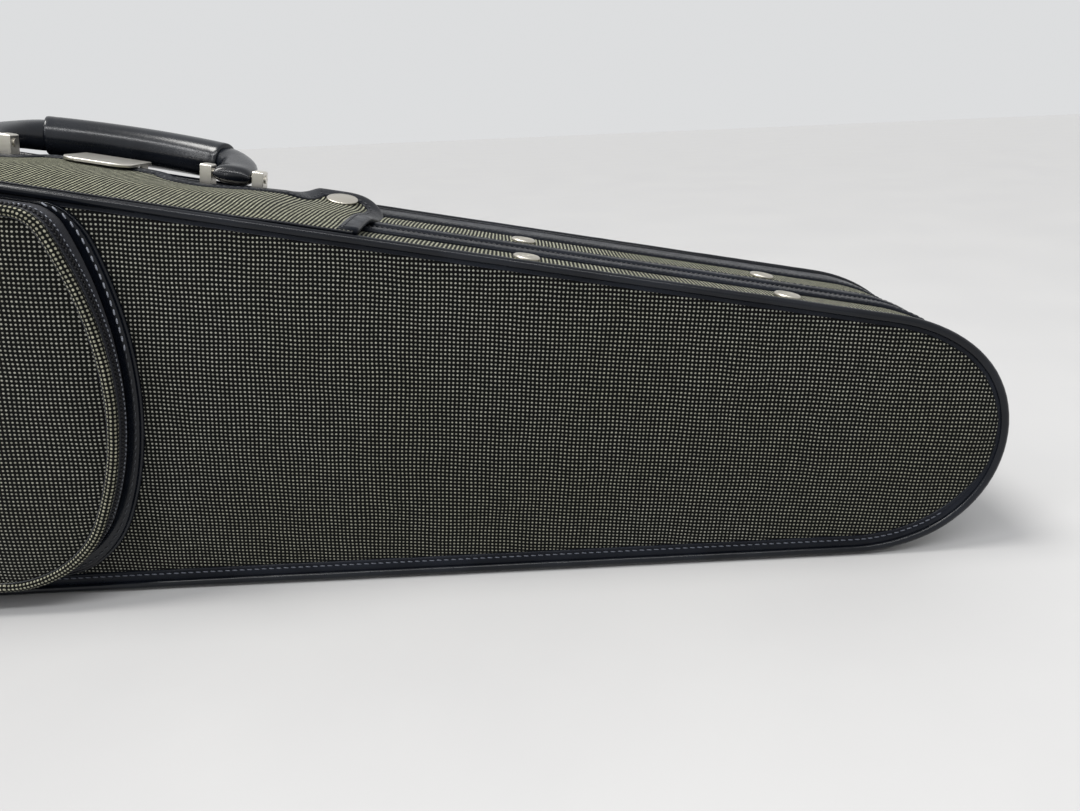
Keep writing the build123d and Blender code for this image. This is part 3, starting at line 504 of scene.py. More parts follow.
def weave(name, dot, olive, ground, edge, stretch):
    """Black basket weave with raised light dots in rows, from the flat coordinates in millimetres."""
    m = Mat(name)
    m.set(IOR=1.45, Sheen_Weight=0.03, Sheen_Roughness=0.5, Specular_IOR_Level=0.12)
    flat = m.flat()
    drift = m.new("ShaderNodeTexNoise")
    drift.inputs["Scale"].default_value = 0.03
    drift.inputs["Detail"].default_value = 2.0
    m.link(flat, drift.inputs["Vector"])
    shift = m.vec("SCALE", drift.outputs["Color"], scale=2.2)
    moved = m.vec("ADD", flat, shift.outputs[0])
    cells = m.vec("SCALE", moved.outputs[0], scale=1.0 / DOT_PITCH)
    inside = m.vec("SUBTRACT", m.vec("FRACTION", cells.outputs[0]).outputs[0], (0.5, 0.5, 0.0))
    shaped = m.vec("MULTIPLY", inside.outputs[0], (*stretch, 0.0))
    dist = m.vec("LENGTH", shaped.outputs[0]).outputs["Value"]
    mask = m.ramp(dist, edge + 0.07, edge - 0.07)
    cell = m.vec("FLOOR", cells.outputs[0])
    wn = m.new("ShaderNodeTexWhiteNoise", noise_dimensions="2D")
    m.link(cell.outputs[0], wn.inputs["Vector"])
    lively = m.ramp(wn.outputs[0], 0, 1, 0.62, 1.0, smooth=False)
    broad = m.noise(m.coords(), 9.0, 3.0)
    tone = m.ramp(broad, 0.3, 0.7, 0.0, 1.0)
    light = m.mix(tone, dot, olive)
    base = m.mix(mask, ground, light)
    thread = m.noise(flat, 1.6, 2.0)
    dim = m.op("MULTIPLY", lively, m.ramp(thread, 0.3, 0.7, 0.78, 1.0))
    shade = m.new("ShaderNodeMix", data_type="RGBA", blend_type="MULTIPLY")
    shade.inputs[0].default_value = 1.0
    m.link(base, shade.inputs[6])
    comb = m.new("ShaderNodeCombineColor")
    for i in range(3):
        m.link(dim, comb.inputs[i])
    m.link(comb.outputs[0], shade.inputs[7])
    m.into("Base Color", shade.outputs[2])
    m.into("Roughness", m.ramp(mask, 0, 1, 0.9, 0.7))
    high = m.op("ADD", m.op("MULTIPLY", mask, 0.8), m.op("MULTIPLY", thread, 0.5))
    m.bump(high, 0.00035, 0.8)
    return m.m


def vinyl(name, color, rough=0.34, grain=900.0, depth=0.00005, spread=0.10, shine=0.28):
    """Coated leathercloth with a fine grain; shine is its specular level."""
    m = Mat(name)
    m.set(IOR=1.5, Specular_IOR_Level=shine)
    co = m.coords()
    vor = m.new("ShaderNodeTexVoronoi", feature="DISTANCE_TO_EDGE")
    vor.inputs["Scale"].default_value = grain
    m.link(co, vor.inputs["Vector"])
    cellular = m.ramp(vor.outputs["Distance"], 0.0, 0.12)
    soft = m.noise(co, 160.0, 4.0)
    broad = m.noise(co, 24.0, 3.0)
    m.into("Base Color", m.mix(m.ramp(broad, 0.35, 0.75), color, lighter(color, 1.9, 0.004)))
    worn = m.ramp(soft, 0.25, 0.75, rough - spread / 2, rough + spread)
    m.into("Roughness", m.op("ADD", worn, m.ramp(cellular, 0, 1, 0.05, 0.0)))
    m.bump(m.op("ADD", m.op("MULTIPLY", cellular, 0.7), m.op("MULTIPLY", soft, 0.9)), depth, 0.8)
    return m.m


def metal(name, color, rough=0.28):
    """Plated metal, finely brushed and a little blotched."""
    m = Mat(name)
    m.set(Metallic=1.0)
    co = m.coords()
    brush = m.stretched(co, (120.0, 900.0, 900.0), 2.0)
    blotch = m.noise(co, 60.0, 2.0)
    m.into("Base Color", m.mix(m.ramp(blotch, 0.3, 0.75), color, lighter(color, 0.90)))
    brushed = m.ramp(brush, 0.3, 0.7, rough - 0.02, rough + 0.03)
    m.into("Roughness", m.op("ADD", brushed, m.ramp(blotch, 0.4, 0.8, 0.0, 0.03)))
    m.bump(brush, 0.000004, 0.4)
    return m.m


def cloth(name, color, pitch=1.0, light=1.8, rough=0.85):
    """Fine woven tape with a slanted rib, from the flat coordinates."""
    m = Mat(name)
    m.set(Sheen_Weight=0.1, Specular_IOR_Level=0.3)
    flat = m.flat()
    sep = m.new("ShaderNodeSeparateXYZ")
    m.link(flat, sep.inputs[0])
    slant = m.op("ADD", sep.outputs[0], sep.outputs[1])
    rib = m.op("SINE", m.op("MULTIPLY", slant, 2 * math.pi / pitch))
    cross = m.op("SINE", m.op("MULTIPLY", sep.outputs[1], 2 * math.pi / (pitch * 0.8)))
    mixd = m.op("ADD", m.op("MULTIPLY", rib, 0.6), m.op("MULTIPLY", cross, 0.4))
    f = m.ramp(mixd, -0.8, 0.9)
    m.into("Base Color", m.mix(f, color, lighter(color, light, 0.004)))
    n = m.noise(m.coords(), 700.0, 2.0)
    m.into("Roughness", m.ramp(n, 0.3, 0.7, rough - 0.1, rough + 0.08))
    m.bump(m.op("ADD", f, m.op("MULTIPLY", n, 0.5)), 0.00015, 0.7)
    return m.m


def plush(name, color, light=1.7):
    """Short pile, lighter where its nap lies over."""
    m = Mat(name)
    m.set(Sheen_Weight=0.6, Sheen_Roughness=0.4, Specular_IOR_Level=0.15)
    co = m.coords()
    pile = m.noise(co, 1500.0, 3.0, 0.7)
    nap = m.noise(co, 28.0, 4.0, 0.6)
    halves = [m.op("MULTIPLY", m.ramp(part, 0.35, 0.65), 0.5) for part in (pile, nap)]
    f = m.op("ADD", *halves)
    m.into("Base Color", m.mix(f, color, lighter(color, light)))
    m.into("Roughness", m.ramp(nap, 0.3, 0.7, 0.85, 0.98))
    m.bump(m.op("ADD", pile, m.op("MULTIPLY", nap, 1.5)), 0.0006, 0.7)
    return m.m


def thread(name, color, rough=0.5):
    """Sewing thread."""
    m = Mat(name)
    m.set(Specular_IOR_Level=0.5)
    n = m.noise(m.coords(), 2500.0, 2.0)
    m.into("Base Color", m.mix(m.ramp(n, 0.35, 0.65), color, lighter(color, 0.55)))
    m.into("Roughness", m.ramp(n, 0.3, 0.7, rough - 0.1, rough + 0.15))
    m.bump(n, 0.0001, 0.6)
    return m.m


def board(name, color, light=1.5, rough=0.6):
    """Wood or fibre board with its grain along X."""
    m = Mat(name)
    grain = m.stretched(m.coords(), (30.0, 240.0, 240.0), 5.0, 0.6)
    m.into("Base Color", m.mix(m.ramp(grain, 0.3, 0.7), color, lighter(color, light)))
    m.into("Roughness", m.ramp(grain, 0.3, 0.7, rough - 0.1, rough + 0.1))
    m.bump(grain, 0.0001, 0.5)
    return m.m


WEAVE_FACE = weave(
    "weave_face", (0.38, 0.38, 0.33), (0.33, 0.33, 0.26), (0.0028, 0.0032, 0.003), 0.245, (0.95, 1.08)
)
WEAVE_SIDE = weave(
    "weave_side", (0.52, 0.52, 0.40), (0.44, 0.44, 0.30), (0.004, 0.005, 0.004), 0.31, (1.22, 0.80)
)
WEAVE_PIPE = weave(
    "weave_piping", (0.44, 0.43, 0.33), (0.37, 0.36, 0.26), (0.005, 0.006, 0.005), 0.29, (0.95, 1.05)
)
VINYL = vinyl("vinyl_black", (0.0022, 0.0034, 0.0066), 0.30, shine=0.15)
VINYL_BEAD = vinyl("vinyl_bead", (0.0020, 0.0029, 0.0052), 0.17, 700.0, 0.000012, 0.04, 0.28)
GRIP = vinyl("grip_leather", (0.0030, 0.0040, 0.0065), 0.21, 620.0, 0.000006, 0.03, 0.42)
STITCH = thread("thread_black", (0.030, 0.033, 0.040), 0.38)
STITCH_PALE = thread("thread_grey", (0.30, 0.32, 0.37), 0.4)
STITCH_MID = thread("thread_slate", (0.10, 0.11, 0.14), 0.4)
TAPE = cloth("zip_tape", (0.006, 0.006, 0.008), 1.0)
GUSSET = cloth("gusset_tape", (0.008, 0.009, 0.014), 1.2, 1.9, 0.75)
COIL = vinyl("coil_plastic", (0.014, 0.014, 0.016), 0.36, 1500.0, 0.00002)
NICKEL = metal("nickel", (0.76, 0.73, 0.66), 0.30)
NICKEL_DARK = metal("nickel_cap", (0.60, 0.57, 0.50), 0.33)
PLUSH = plush("plush_lining", (0.020, 0.028, 0.050))
PLUSH_BED = plush("plush_bed", (0.024, 0.033, 0.058))
SHELL = board("shell_board", (0.10, 0.085, 0.07))
BLOCK = board("block_wood", (0.16, 0.09, 0.045), 1.6, 0.45)


def place(ob, body, slot, *nodes):
    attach(ob, body)
    if nodes:
        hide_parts(*nodes)
    return ob


def keep(node, mat, bevel=0.0, angle=35):
    """A CAD node that stays: a finish, and softened edges where they show."""
    ob = NODES[node]
    ob.data.materials.clear()
    ob.data.materials.append(mat)
    if bevel:
        w = ob.modifiers.new("weld", "WELD")
        w.merge_threshold = 1e-6
        b = ob.modifiers.new("bevel", "BEVEL")
        b.width = bevel * MM
        b.segments = 2
        b.limit_method = "ANGLE"
        b.angle_limit = math.radians(angle)
        b.harden_normals = False
        b.use_clamp_overlap = True
        ob.modifiers.new("normals", "WEIGHTED_NORMAL").keep_sharp = True


# ------------------------------------------------------------------ beads and strips round both rims
BEAD_R, BEAD_DEPTH = 2.2, 2.5


def bead(name, body, depth, node):
    """Shiny corded bead round one rim."""
    b = Build()

    def wob(s, pr):
        w = 0.08 * wave(s, 7, 46.0) + 0.05 * wave(s, 8, 15.0)
        return w[:, None] * np.ones(len(pr)), 0.08 * wave(s, 9, 60.0)[:, None] * np.ones(len(pr))

    sweep(b, CASE, oval(2.25, depth, BEAD_R, BEAD_R, 18), wobble=wob)
    return place(b.make(name, [VINYL_BEAD]), body, "vinyl", node)


bead("lid_bead", "lid", BEAD_DEPTH, "lid_rim_bead")
bead("base_bead", "base", DEPTH - BEAD_DEPTH, "base_rim_bead")


def face_strip(name, body, side, node):
    """Vinyl strip inside the bead: padded between its two edges, sewn near its inner edge."""

    def d(t):
        return t if side < 0 else DEPTH - t

    shape = [(3.6, 2.9), (4.2, 1.9), (5.0, 1.45), (6.2, 1.12), (7.2, 1.10), (7.9, 1.35), (8.3, 1.52)]
    shape += [(8.7, 1.35), (9.3, 1.05), (9.9, 1.12), (10.35, 1.5), (10.5, 2.2), (10.4, 3.2), (7.5, 3.4)]
    shape += [(3.8, 3.4)]
    b = Build()

    def wob(s, pr):
        w = 0.16 * wave(s, 21, 34.0)
        lip = np.array([1.0 if q[0] > 9.0 else 0.25 for q in pr])
        away = np.array([(q[0] - 3.6) / 6.9 for q in pr])
        level = np.array([-side * (1.85 - t) if 4.5 < i < STRIP and t < 2 else 0.0 for i, t in shape])
        narrow = (STRIP - inner_at(s)) / 4.3
        return w[:, None] * lip + (inner_at(s) - 10.3)[:, None] * away, narrow[:, None] * level

    sweep(b, CASE, [(i, d(t)) for i, t in shape], wobble=wob)
    rim_stitches(b, CASE, 8.3, d(1.28), 3.7, (1.28, 0.36, 0.34), mat=1, where=lambda n: n[:, 1] < -0.80)
    return place(b.make(name, [VINYL, STITCH_MID]), body, "vinyl", node)


face_strip("lid_strip", "lid", -1, "lid_face_strip")
face_strip("base_strip", "base", 1, "base_face_strip")


# ------------------------------------------------------------------ woven bands and edgings on the walls
# where each starts and stops, as depths from the lid's rim
LID_BAND, LID_EDGING = (5.0, 33.0), (33.0, 41.0)
BASE_EDGING, BASE_BAND = (51.0, 59.5), (59.5, 92.0)
KNUCKLES = (43.4, 48.6)
SPAN = (SPINE_LEFT, SPINE_RIGHT)
WALL_STITCH, STITCH_PITCH = (1.15, 0.34, 0.32), 3.4


def band(name, body, start, stop, node):
    """Woven band round the side wall, dipping at its two edges."""
    b = Build()
    mid = (start + stop) / 2
    prof = [(3.7, start - 0.4)]
    for t in np.linspace(0, 1, 13):
        dip = 0.9 * (abs(2 * t - 1) ** 6)
        prof.append((2.25 + dip, start - 0.4 + t * (stop - start + 0.8)))
    prof += [(3.7, stop + 0.4), (3.72, mid)]

    def middle(inset, depth):
        return 0.0 if inset > 3.5 else math.sin(math.pi * (depth - start) / (stop - start))

    sweep(b, CASE, prof, wobble=ripple(0.16, int(start), 70.0, middle))
    return place(b.make(name, [WEAVE_SIDE]), body, "weave", node)


band("lid_band", "lid", *LID_BAND, "lid_side_cover")
band("base_band", "base", *BASE_BAND, "base_side_cover")


def edging(name, body, start, stop, node, sewn):
    """Padded vinyl edging beside the zip, sewn near the woven band, with a flat strip along the hinges."""
    b = Build()
    w = stop - start
    prof = [(3.6, start), (2.2, start - 0.1), (1.5, start + 0.35), (1.15, start + 1.1)]
    prof += [(1.25, start + 1.9), (1.05, start + 2.8), (0.9, start + w * 0.5), (0.95, stop - 2.4)]
    prof += [(1.15, stop - 1.2), (1.6, stop - 0.4), (2.3, stop), (3.6, stop)]
    if sewn > (start + stop) / 2:
        prof = [(i, start + stop - dd) for i, dd in prof]

    def outside(inset, depth):
        return 1.0 if inset < 2.0 else 0.0

    sweep(b, CASE, prof, wobble=ripple(0.10, int(start) + 3, 30.0, outside), span=SPAN)
    past = (SPAN[0] - 8, SPAN[1] + 8)
    rim_stitches(b, CASE, 1.12, sewn, STITCH_PITCH, WALL_STITCH, face=False, span=past)
    # flat strip along the hinges, clear of the knuckles
    lo, hi = (start, KNUCKLES[0]) if body == "lid" else (KNUCKLES[1], stop)
    xs = np.arange(SPINE_LEFT - 1.0, SPINE_RIGHT + 1.0, 6.0)
    pr = [(2.6, lo), (1.7, lo + 0.1), (1.35, lo + 0.9), (1.3, (lo + hi) / 2)]
    pr += [(1.35, hi - 0.9), (1.7, hi - 0.1), (2.6, hi)]
    p = np.zeros((len(xs), len(pr), 3))
    for j, (i, dd) in enumerate(pr):
        p[:, j, 0], p[:, j, 1] = xs, FY + dd
        p[:, j, 2] = FOOT + i + (0.06 * wave(xs, 31, 50.0) if 0 < j < 6 else 0)
    b.grid(p, strip_uv(xs, len(pr), 2.0), close_j=True, cap_i=True)
    return place(b.make(name, [VINYL, STITCH]), body, "vinyl", node)


edging("lid_edging", "lid", *LID_EDGING, "lid_zip_edging", LID_EDGING[0] + 1.6)
edging("base_edging", "base", *BASE_EDGING, "base_zip_edging", BASE_EDGING[1] - 1.6)


def far_strip():
    """Wide vinyl strip on the base's wall, next to its rim."""
    b = Build()
    prof = [(3.7, 91.6), (2.4, 91.7), (1.7, 92.1), (1.42, 92.9), (1.5, 94.1), (1.62, 94.6), (1.5, 95.1)]
    prof += [(1.3, 96.4), (1.22, 100.0), (1.2, 104.0), (1.25, 108.0), (1.35, 112.0), (1.7, 114.6)]
    prof += [(2.6, 115.6), (3.7, 115.7)]

    def loose(inset, depth):
        return 1.0 if 95 < depth < 114 else 0.3

    sweep(b, CASE, prof, wobble=ripple(0.12, 41, 55.0, loose))
    rim_stitches(b, CASE, 1.42, 94.6, STITCH_PITCH, WALL_STITCH, face=False)
    return place(b.make("far_strip", [VINYL, STITCH]), "base", "vinyl", "base_far_strip")


far_strip()


# ------------------------------------------------------------------ zip
BELOW = (SPINE_LEFT - 23, SPINE_RIGHT + 43.5)  # no teeth along the hinges
TOOTH, TOOTH_PITCH = (1.38, 0.98, 0.72), 2.6


def zip_half(body, side):
    """One tape of the zip with its teeth and the cord they are sewn over."""
    near, far = SPLIT + side * 5.0, SPLIT + side * 0.2
    b = Build()
    prof = [(3.7, near + side * 0.5), (3.05, near + side * 0.5), (3.0, (near + far) / 2)]
    prof += [(3.05, far + side * 0.2), (3.3, far), (3.7, far)]
    sweep(b, CASE, prof, span=SPAN)
    place(b.make(body + "_tape", [TAPE]), body, "tape", body + "_zip_tape")
    t = Build()
    p, n, _ = CASE.walk(TOOTH_PITCH, 2.35, TOOTH_PITCH / 2 if side > 0 else 0.0)
    hide = (n[:, 1] < -0.3) & (p[:, 0] > BELOW[0]) & (p[:, 0] < BELOW[1])
    p, n = p[~hide], n[~hide]
    along, out, across = directions(n)
    beads(t, lift3(p, SPLIT + side * 1.42), across, along, out, TOOTH, mat=0)
    cord = [(inset, SPLIT + side * d) for inset, d in ((2.75, 2.9), (2.3, 3.3), (2.75, 3.7), (3.1, 3.3))]
    sweep(t, CASE, cord, span=BELOW)
    place(t.make(body + "_teeth", [COIL]), body, "teeth", body + "_zip_teeth")


zip_half("lid", -1)
zip_half("base", 1)


# ------------------------------------------------------------------ domed woven faces
def edge_v(u, inset):
    """Half widths of the outline above and below the case axis at an inset, and its two ends."""
    q = CASE.offset(inset)
    uu, vv = uv_of(q[:, 0], q[:, 1])
    found = []
    for side in (vv >= -1e-6, vv <= 1e-6):
        order = np.argsort(uu[side])
        found.append(np.interp(u, uu[side][order], np.abs(vv[side][order]), left=0, right=0))
    return found[0], found[1], uu.min(), uu.max()


def spread(inset, nu, nv, bias, power):
    """Places over the face, as distances along and across the axis, with how far each is from the edge."""
    _, _, u0, u1 = edge_v(np.array([APEX]), inset)
    t = 0.5 - 0.5 * np.cos(np.linspace(0, math.pi, nu))
    u = u0 + (u1 - u0) * (bias * t + (1 - bias) * np.linspace(0, 1, nu))
    w_up, w_lo, _, _ = edge_v(u, inset)
    for w in (w_up, w_lo):
        w[0] = w[-1] = 0.4
    j = np.linspace(-1, 1, nv)
    j = (np.sign(j) * (1 - (1 - np.abs(j)) ** power))[None, :]
    uu = np.repeat(u[:, None], nv, 1)
    vv = np.where(j > 0, w_up[:, None], w_lo[:, None]) * j
    near = np.where(j > 0, w_up[:, None], w_lo[:, None]) * (1 - np.abs(j))
    x = MEET_X - uu * math.cos(A) + vv * math.sin(A)
    z = FOOT + uu * math.sin(A) + vv * math.cos(A)
    return uu, vv, x, z, np.minimum(near, np.minimum(uu - u0, u1 - uu) * 1.2)


def close_panel(b, front, rear, uv, mat=0):
    """Edge and back of a panel whose front is a grid; rear is a grid, or the depth its rim is carried to."""
    ni, nj = front.shape[:2]
    rim = [(i, 0) for i in range(ni)] + [(ni - 1, k) for k in range(1, nj)]
    rim += [(i, nj - 1) for i in range(ni - 2, -1, -1)] + [(0, k) for k in range(nj - 2, 0, -1)]
    a = np.array([front[i, k] for i, k in rim])
    ruv = np.array([uv[i, k] for i, k in rim])
    if isinstance(rear, float):
        c = a.copy()
        c[:, 1] = FY + rear
        b.add(c, [tuple(range(len(c)))], [[tuple(q) for q in ruv]])
    else:
        c = np.array([rear[i, k] for i, k in rim])
        b.grid(rear, uv)
    b.grid(np.stack([a, c], 1), np.stack([np.vstack([ruv, ruv[:1]])] * 2, 1), close_i=True, mat=mat)


def dome(name, body, depth_of, back):
    """Closed woven panel stretched over padding; its edge turns down into the strip's seam."""
    uu, vv, x, z, gap = spread(INNER - 0.35, 190, 48, 0.55, 1.25)
    roll = 0.9 * np.exp(-gap / 2.2)
    soft = 0.18 * np.sin(uu / 21.0 + 1.3 * np.sin(vv / 33.0)) * np.clip(gap / 25.0, 0, 1)
    puck = 0.12 * np.sin(uu / 2.2) * np.exp(-gap / 5.0)
    rise = roll + soft + puck
    y = FY + (depth_of(x, z) - rise if back else depth_of(x, z) + rise)
    b = Build()
    uv = np.stack([uu, vv], -1)
    front = np.stack([x, y, z], -1)
    b.grid(front, uv)
    close_panel(b, front, DEPTH - 3.4 if back else 3.4, uv)
    return place(b.make(name, [WEAVE_FACE], weld=0.02), body, "weave")


lid_face = dome("lid_face", "lid", crown, False)
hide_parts("lid_face_cover")
back_face = dome("back_face", "base", lambda x, z: DEPTH - crown(x, z, BACK_RADIUS), True)
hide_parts("base_back_cover")

# ------------------------------------------------------------------ pocket
BIG = np.array([-190.4, 121.0])  # centre of the curved end
BIG_R, PIN, P_LOW = 160.0, 6.2, 14.5  # its radius, the inset from the case outline, the foot's height
C_LOW, C_TOP, C_REAR = 60.0, 16.0, 30.0  # corner radii
FRONT, ZIPD = -15.6, -10.0  # depths of its front edge and of its zip
CORD_R = 2.4
COIL_LOOP, COIL_PITCH = (0.95, 0.62, 0.6), 1.9


def bearing(v):
    return math.degrees(math.atan2(v[1], v[0]))


def beside(centre, radius, corner, side):
    """Centre of a corner arc that stands on the pocket's foot, inside a large arc."""
    z = P_LOW + corner
    return np.array([centre[0] + side * math.sqrt((radius - corner) ** 2 - (centre[1] - z) ** 2), z])


n_top = np.array([SIN, COS])
t_top = np.array([COS, -SIN])
lean = n_top @ np.array([TOP_O[0], TOP_O[2]]) - PIN - C_TOP - n_top @ BIG
c_top = BIG + math.sqrt((BIG_R - C_TOP) ** 2 - lean ** 2) * t_top + lean * n_top
c_low = beside(BIG, BIG_R, C_LOW, 1)
k_rear = at(END_KU, -END_KV)
c_rear = beside(k_rear, END_CORNER - PIN, C_REAR, -1)
A_LOW, A_TOP, A_REAR = bearing(c_low - BIG), bearing(c_top - BIG), bearing(c_rear - k_rear) % 360
POCKET = Path(
    [
        (c_low, C_LOW, -90, A_LOW),
        (BIG, BIG_R, A_LOW, A_TOP),
        (c_top, C_TOP, A_TOP, 90 - 2 * LOW),
        (at(END_KU, END_KV), END_CORNER - PIN, 90 - 2 * LOW, 180 - END_SWEEP - LOW),
        (at(END_C, 0), END_R - PIN, 180 - END_SWEEP - LOW, 180 + END_SWEEP - LOW),
        (k_rear, END_CORNER - PIN, 180 + END_SWEEP - LOW, A_REAR),
        (c_rear, C_REAR, A_REAR, 270),
    ],
    step=4.0,
)


def pocket_piping():
    """Woven cord round the pocket's front edge."""
    b = Build()

    def wob(s, pr):
        w = 0.14 * wave(s, 61, 26.0)
        return w[:, None] * np.ones(len(pr)), 0.12 * wave(s, 62, 38.0)[:, None] * np.ones(len(pr))

    sweep(b, POCKET, oval(1.6, FRONT, CORD_R, CORD_R, 16), wobble=wob)
    return place(b.make("pocket_cord", [WEAVE_PIPE]), "lid", "weave", "pocket_piping")


pocket_piping()


def pocket_gusset():
    """Dark gusset from the cord down to the lid's dome, with the coil zip let into it."""
    b = Build()
    base = np.array([crown(q[0], q[1]) for q in POCKET.p])
    levels = [(0.55, FRONT + 1.4), (0.15, -12.6), (0.30, -12.2), (0.05, -11.7), (0.10, -8.5), (0.35, -8.0)]
    levels += [(0.1, -7.6), (0.05, -5.0)]
    rows = np.zeros((len(POCKET.p), len(levels) + 2, 2))
    for k, (m, d) in enumerate(levels):
        rows[:, k, 0], rows[:, k, 1] = m, d
    rows[:, -2, 0], rows[:, -2, 1] = 0.2, np.maximum(base - 0.2, -4.6)
    rows[:, -1, 0], rows[:, -1, 1] = 0.5, np.maximum(base + 1.5, -4.0)
    rows[:, :, 1] = np.minimum(rows[:, :, 1], rows[:, -1:, 1])
    outer = POCKET.p[:, None, :] - rows[..., :1] * POCKET.n[:, None, :]
    inner = POCKET.p[:, None, :] - (rows[..., :1] + 1.4) * POCKET.n[:, None, :]
    p = np.concatenate([lift3(outer, rows[..., 1]), lift3(inner, rows[..., 1])[:, ::-1]], 1)
    nj = p.shape[1]
    uv = np.zeros((len(p) + 1, nj + 1, 2))
    uv[..., 0] = POCKET.s[:, None]
    drop = np.concatenate([rows[..., 1], rows[:1, :, 1]], 0)
    uv[:, : nj // 2, 1], uv[:, nj // 2 : nj, 1] = drop, drop[:, ::-1]
    uv[:, nj, 1] = uv[:, 0, 1]
    b.grid(p, uv, close_i=True, close_j=True)
    rim_stitches(b, POCKET, -0.15, -7.0, 2.3, (0.62, 0.34, 0.34), face=False, mat=1)
    rim_stitches(b, POCKET, 0.02, -12.9, 2.4, (0.8, 0.25, 0.2), face=False, mat=2)
    place(b.make("pocket_wall", [GUSSET, STITCH_PALE, STITCH]), "lid", "tape", "pocket_gusset")
    t = Build()
    for k, sgn in enumerate((-1, 1)):
        pp, nn, _ = POCKET.walk(COIL_PITCH, -0.35, k * COIL_PITCH / 2)
        along, out, across = directions(nn)
        beads(t, lift3(pp, ZIPD + sgn * 0.75), across, along, out, COIL_LOOP, mat=0)
    place(t.make("pocket_coil", [COIL]), "lid", "teeth", "pocket_zip")


pocket_gusset()


def pocket_trim():
    """Vinyl strip sewn round the pocket's curved end, padded, with a turned outer edge."""
    count = len(POCKET.p)
    last = max(i for i in range(count) if POCKET.s[i] < POCKET.total * 0.5 and POCKET.n[i, 0] > -0.05)
    # it starts along the bottom edge, a little before the curve
    tail = [i for i in range(count) if POCKET.n[i, 1] < -0.999 and POCKET.p[i, 0] > -235]
    order = sorted(tail, key=lambda i: POCKET.p[i, 0]) + [i for i in range(1, last + 1) if i not in tail]
    pts, nrm = POCKET.p[order], POCKET.n[order]
    seg = np.linalg.norm(np.diff(pts, axis=0), axis=1)
    s = np.concatenate([[0], np.cumsum(seg)])
    room = np.zeros(len(pts))  # width left for it before the case's rim strip
    for i, (q, n) in enumerate(zip(pts, nrm)):
        for m in np.linspace(0.3, 7.6, 40):
            r = q + m * n
            g = CASE.p - r
            k = np.argmin((g ** 2).sum(1))
            if (g[k] @ CASE.n[k]) < INNER[k] + 0.2:
                break
            room[i] = m
    room = np.convolve(np.pad(room, 3, mode="edge"), np.ones(7) / 7, "valid")
    shape = [(-0.10, -0.3), (0.0, 0.9), (0.10, 1.35), (0.25, 1.55), (0.42, 1.45), (0.62, 1.5), (0.72, 1.25)]
    shape += [(0.78, 1.25), (0.86, 1.7), (0.94, 1.85), (1.0, 1.5), (1.03, 0.6), (1.0, -0.6)]
    p = np.zeros((len(pts), len(shape), 3))
    for j, (f, h) in enumerate(shape):
        m = f * np.maximum(room, 0.8)
        q = pts + m[:, None] * nrm
        d = crown(q[:, 0], q[:, 1]) - h * np.clip(room / 3.0, 0.35, 1) + 0.06 * wave(s, 71, 22.0)
        p[:, j] = lift3(q, d)
    b = Build()
    b.grid(p, strip_uv(s, len(shape)), close_j=True, cap_i=True)
    t = spaced(s[-1], 3.9)
    t = t[np.interp(t, s, room) > 2.2]
    n = unit(columns_at(t, s, nrm))
    q = columns_at(t, s, pts) + (0.55 * np.interp(t, s, room))[:, None] * n
    c = lift3(q, crown(q[:, 0], q[:, 1]) - 1.52)
    along, out, across = directions(n)
    # painted highlight and painted shade: the same stitches, pale above and dark on the lower part
    for mat, part in ((1, q[:, 1] > 128), (2, q[:, 1] <= 128)):
        beads(b, c[part], along[part], out[part], across[part], (1.35, 0.46, 0.46), mat, tilt=0.16)
    place(b.make("pocket_binding", [VINYL_BEAD, STITCH_PALE, STITCH]), "lid", "vinyl", "pocket_trim")


pocket_trim()


def pocket_face(margin=3.3, nx=120, nz=60):
    """Woven front of the pocket, puffed between its corded edges."""
    q = POCKET.offset(margin)
    x0, x1 = q[:, 0].min(), q[:, 0].max()
    t = 0.5 - 0.5 * np.cos(np.linspace(0, math.pi, nx))
    t = 0.6 * t + 0.4 * np.linspace(0, 1, nx)
    xs = x0 + (x1 - x0) * t
    upper = POCKET.n[:, 1] > 0
    edges = []
    for half in (q[upper], q[~upper]):
        order = np.argsort(half[:, 0])
        edges.append(np.interp(xs, half[order, 0], half[order, 1]))
    hi_z, lo_z = edges
    j = np.linspace(0, 1, nz)
    j = 0.5 - 0.5 * np.sign(1 - 2 * j) * (1 - (1 - np.abs(1 - 2 * j)) ** 1.2)
    x = np.repeat(xs[:, None], nz, 1)
    z = lo_z[:, None] + (hi_z - lo_z)[:, None] * j[None, :]
    flatp = np.stack([x, z], -1).reshape(-1, 2)
    gap = np.full(len(flatp), 1e9)
    for edge_point in q:
        gap = np.minimum(gap, ((flatp - edge_point) ** 2).sum(1))
    gap = np.sqrt(gap).reshape(x.shape)
    puff = 4.2 * (1 - np.exp(-gap / 30.0)) + 1.2 * (1 - np.exp(-gap / 6.0))
    fold = 0.25 * np.sin(z / 23.0 + 1.7 * np.sin(x / 41.0)) * np.clip(gap / 30, 0, 1)
    y = FY + FRONT + 0.4 - puff - fold
    b = Build()
    uu, vv = uv_of(x, z)
    uv = np.stack([uu, vv], -1)
    front = np.stack([x, y, z], -1)
    b.grid(front, uv)
    close_panel(b, front, FRONT + 2.0, uv)
    # dark seam line between the cord and the panel
    sweep(b, POCKET, oval(3.9, FRONT - 0.75, 0.35, 0.3, 6), mat=1)
    ob = place(b.make("pocket_panel", [WEAVE_FACE, STITCH], weld=0.02), "lid", "weave", "pocket_face")


pocket_face()

# ------------------------------------------------------------------ flap
FLAP_END, FLAP_FROM = 141.5, 3.6  # half length, and the depth of its sewn edge
TAB_FROM, TAB_CORNER, TAB_STRAIGHT = 125.5, 16.0, 82.0  # the tab's corner arc: its centre and radius
FLAP_BEND = [top(0, d, 1.0) * MM for d in (3.0, 12.0)]


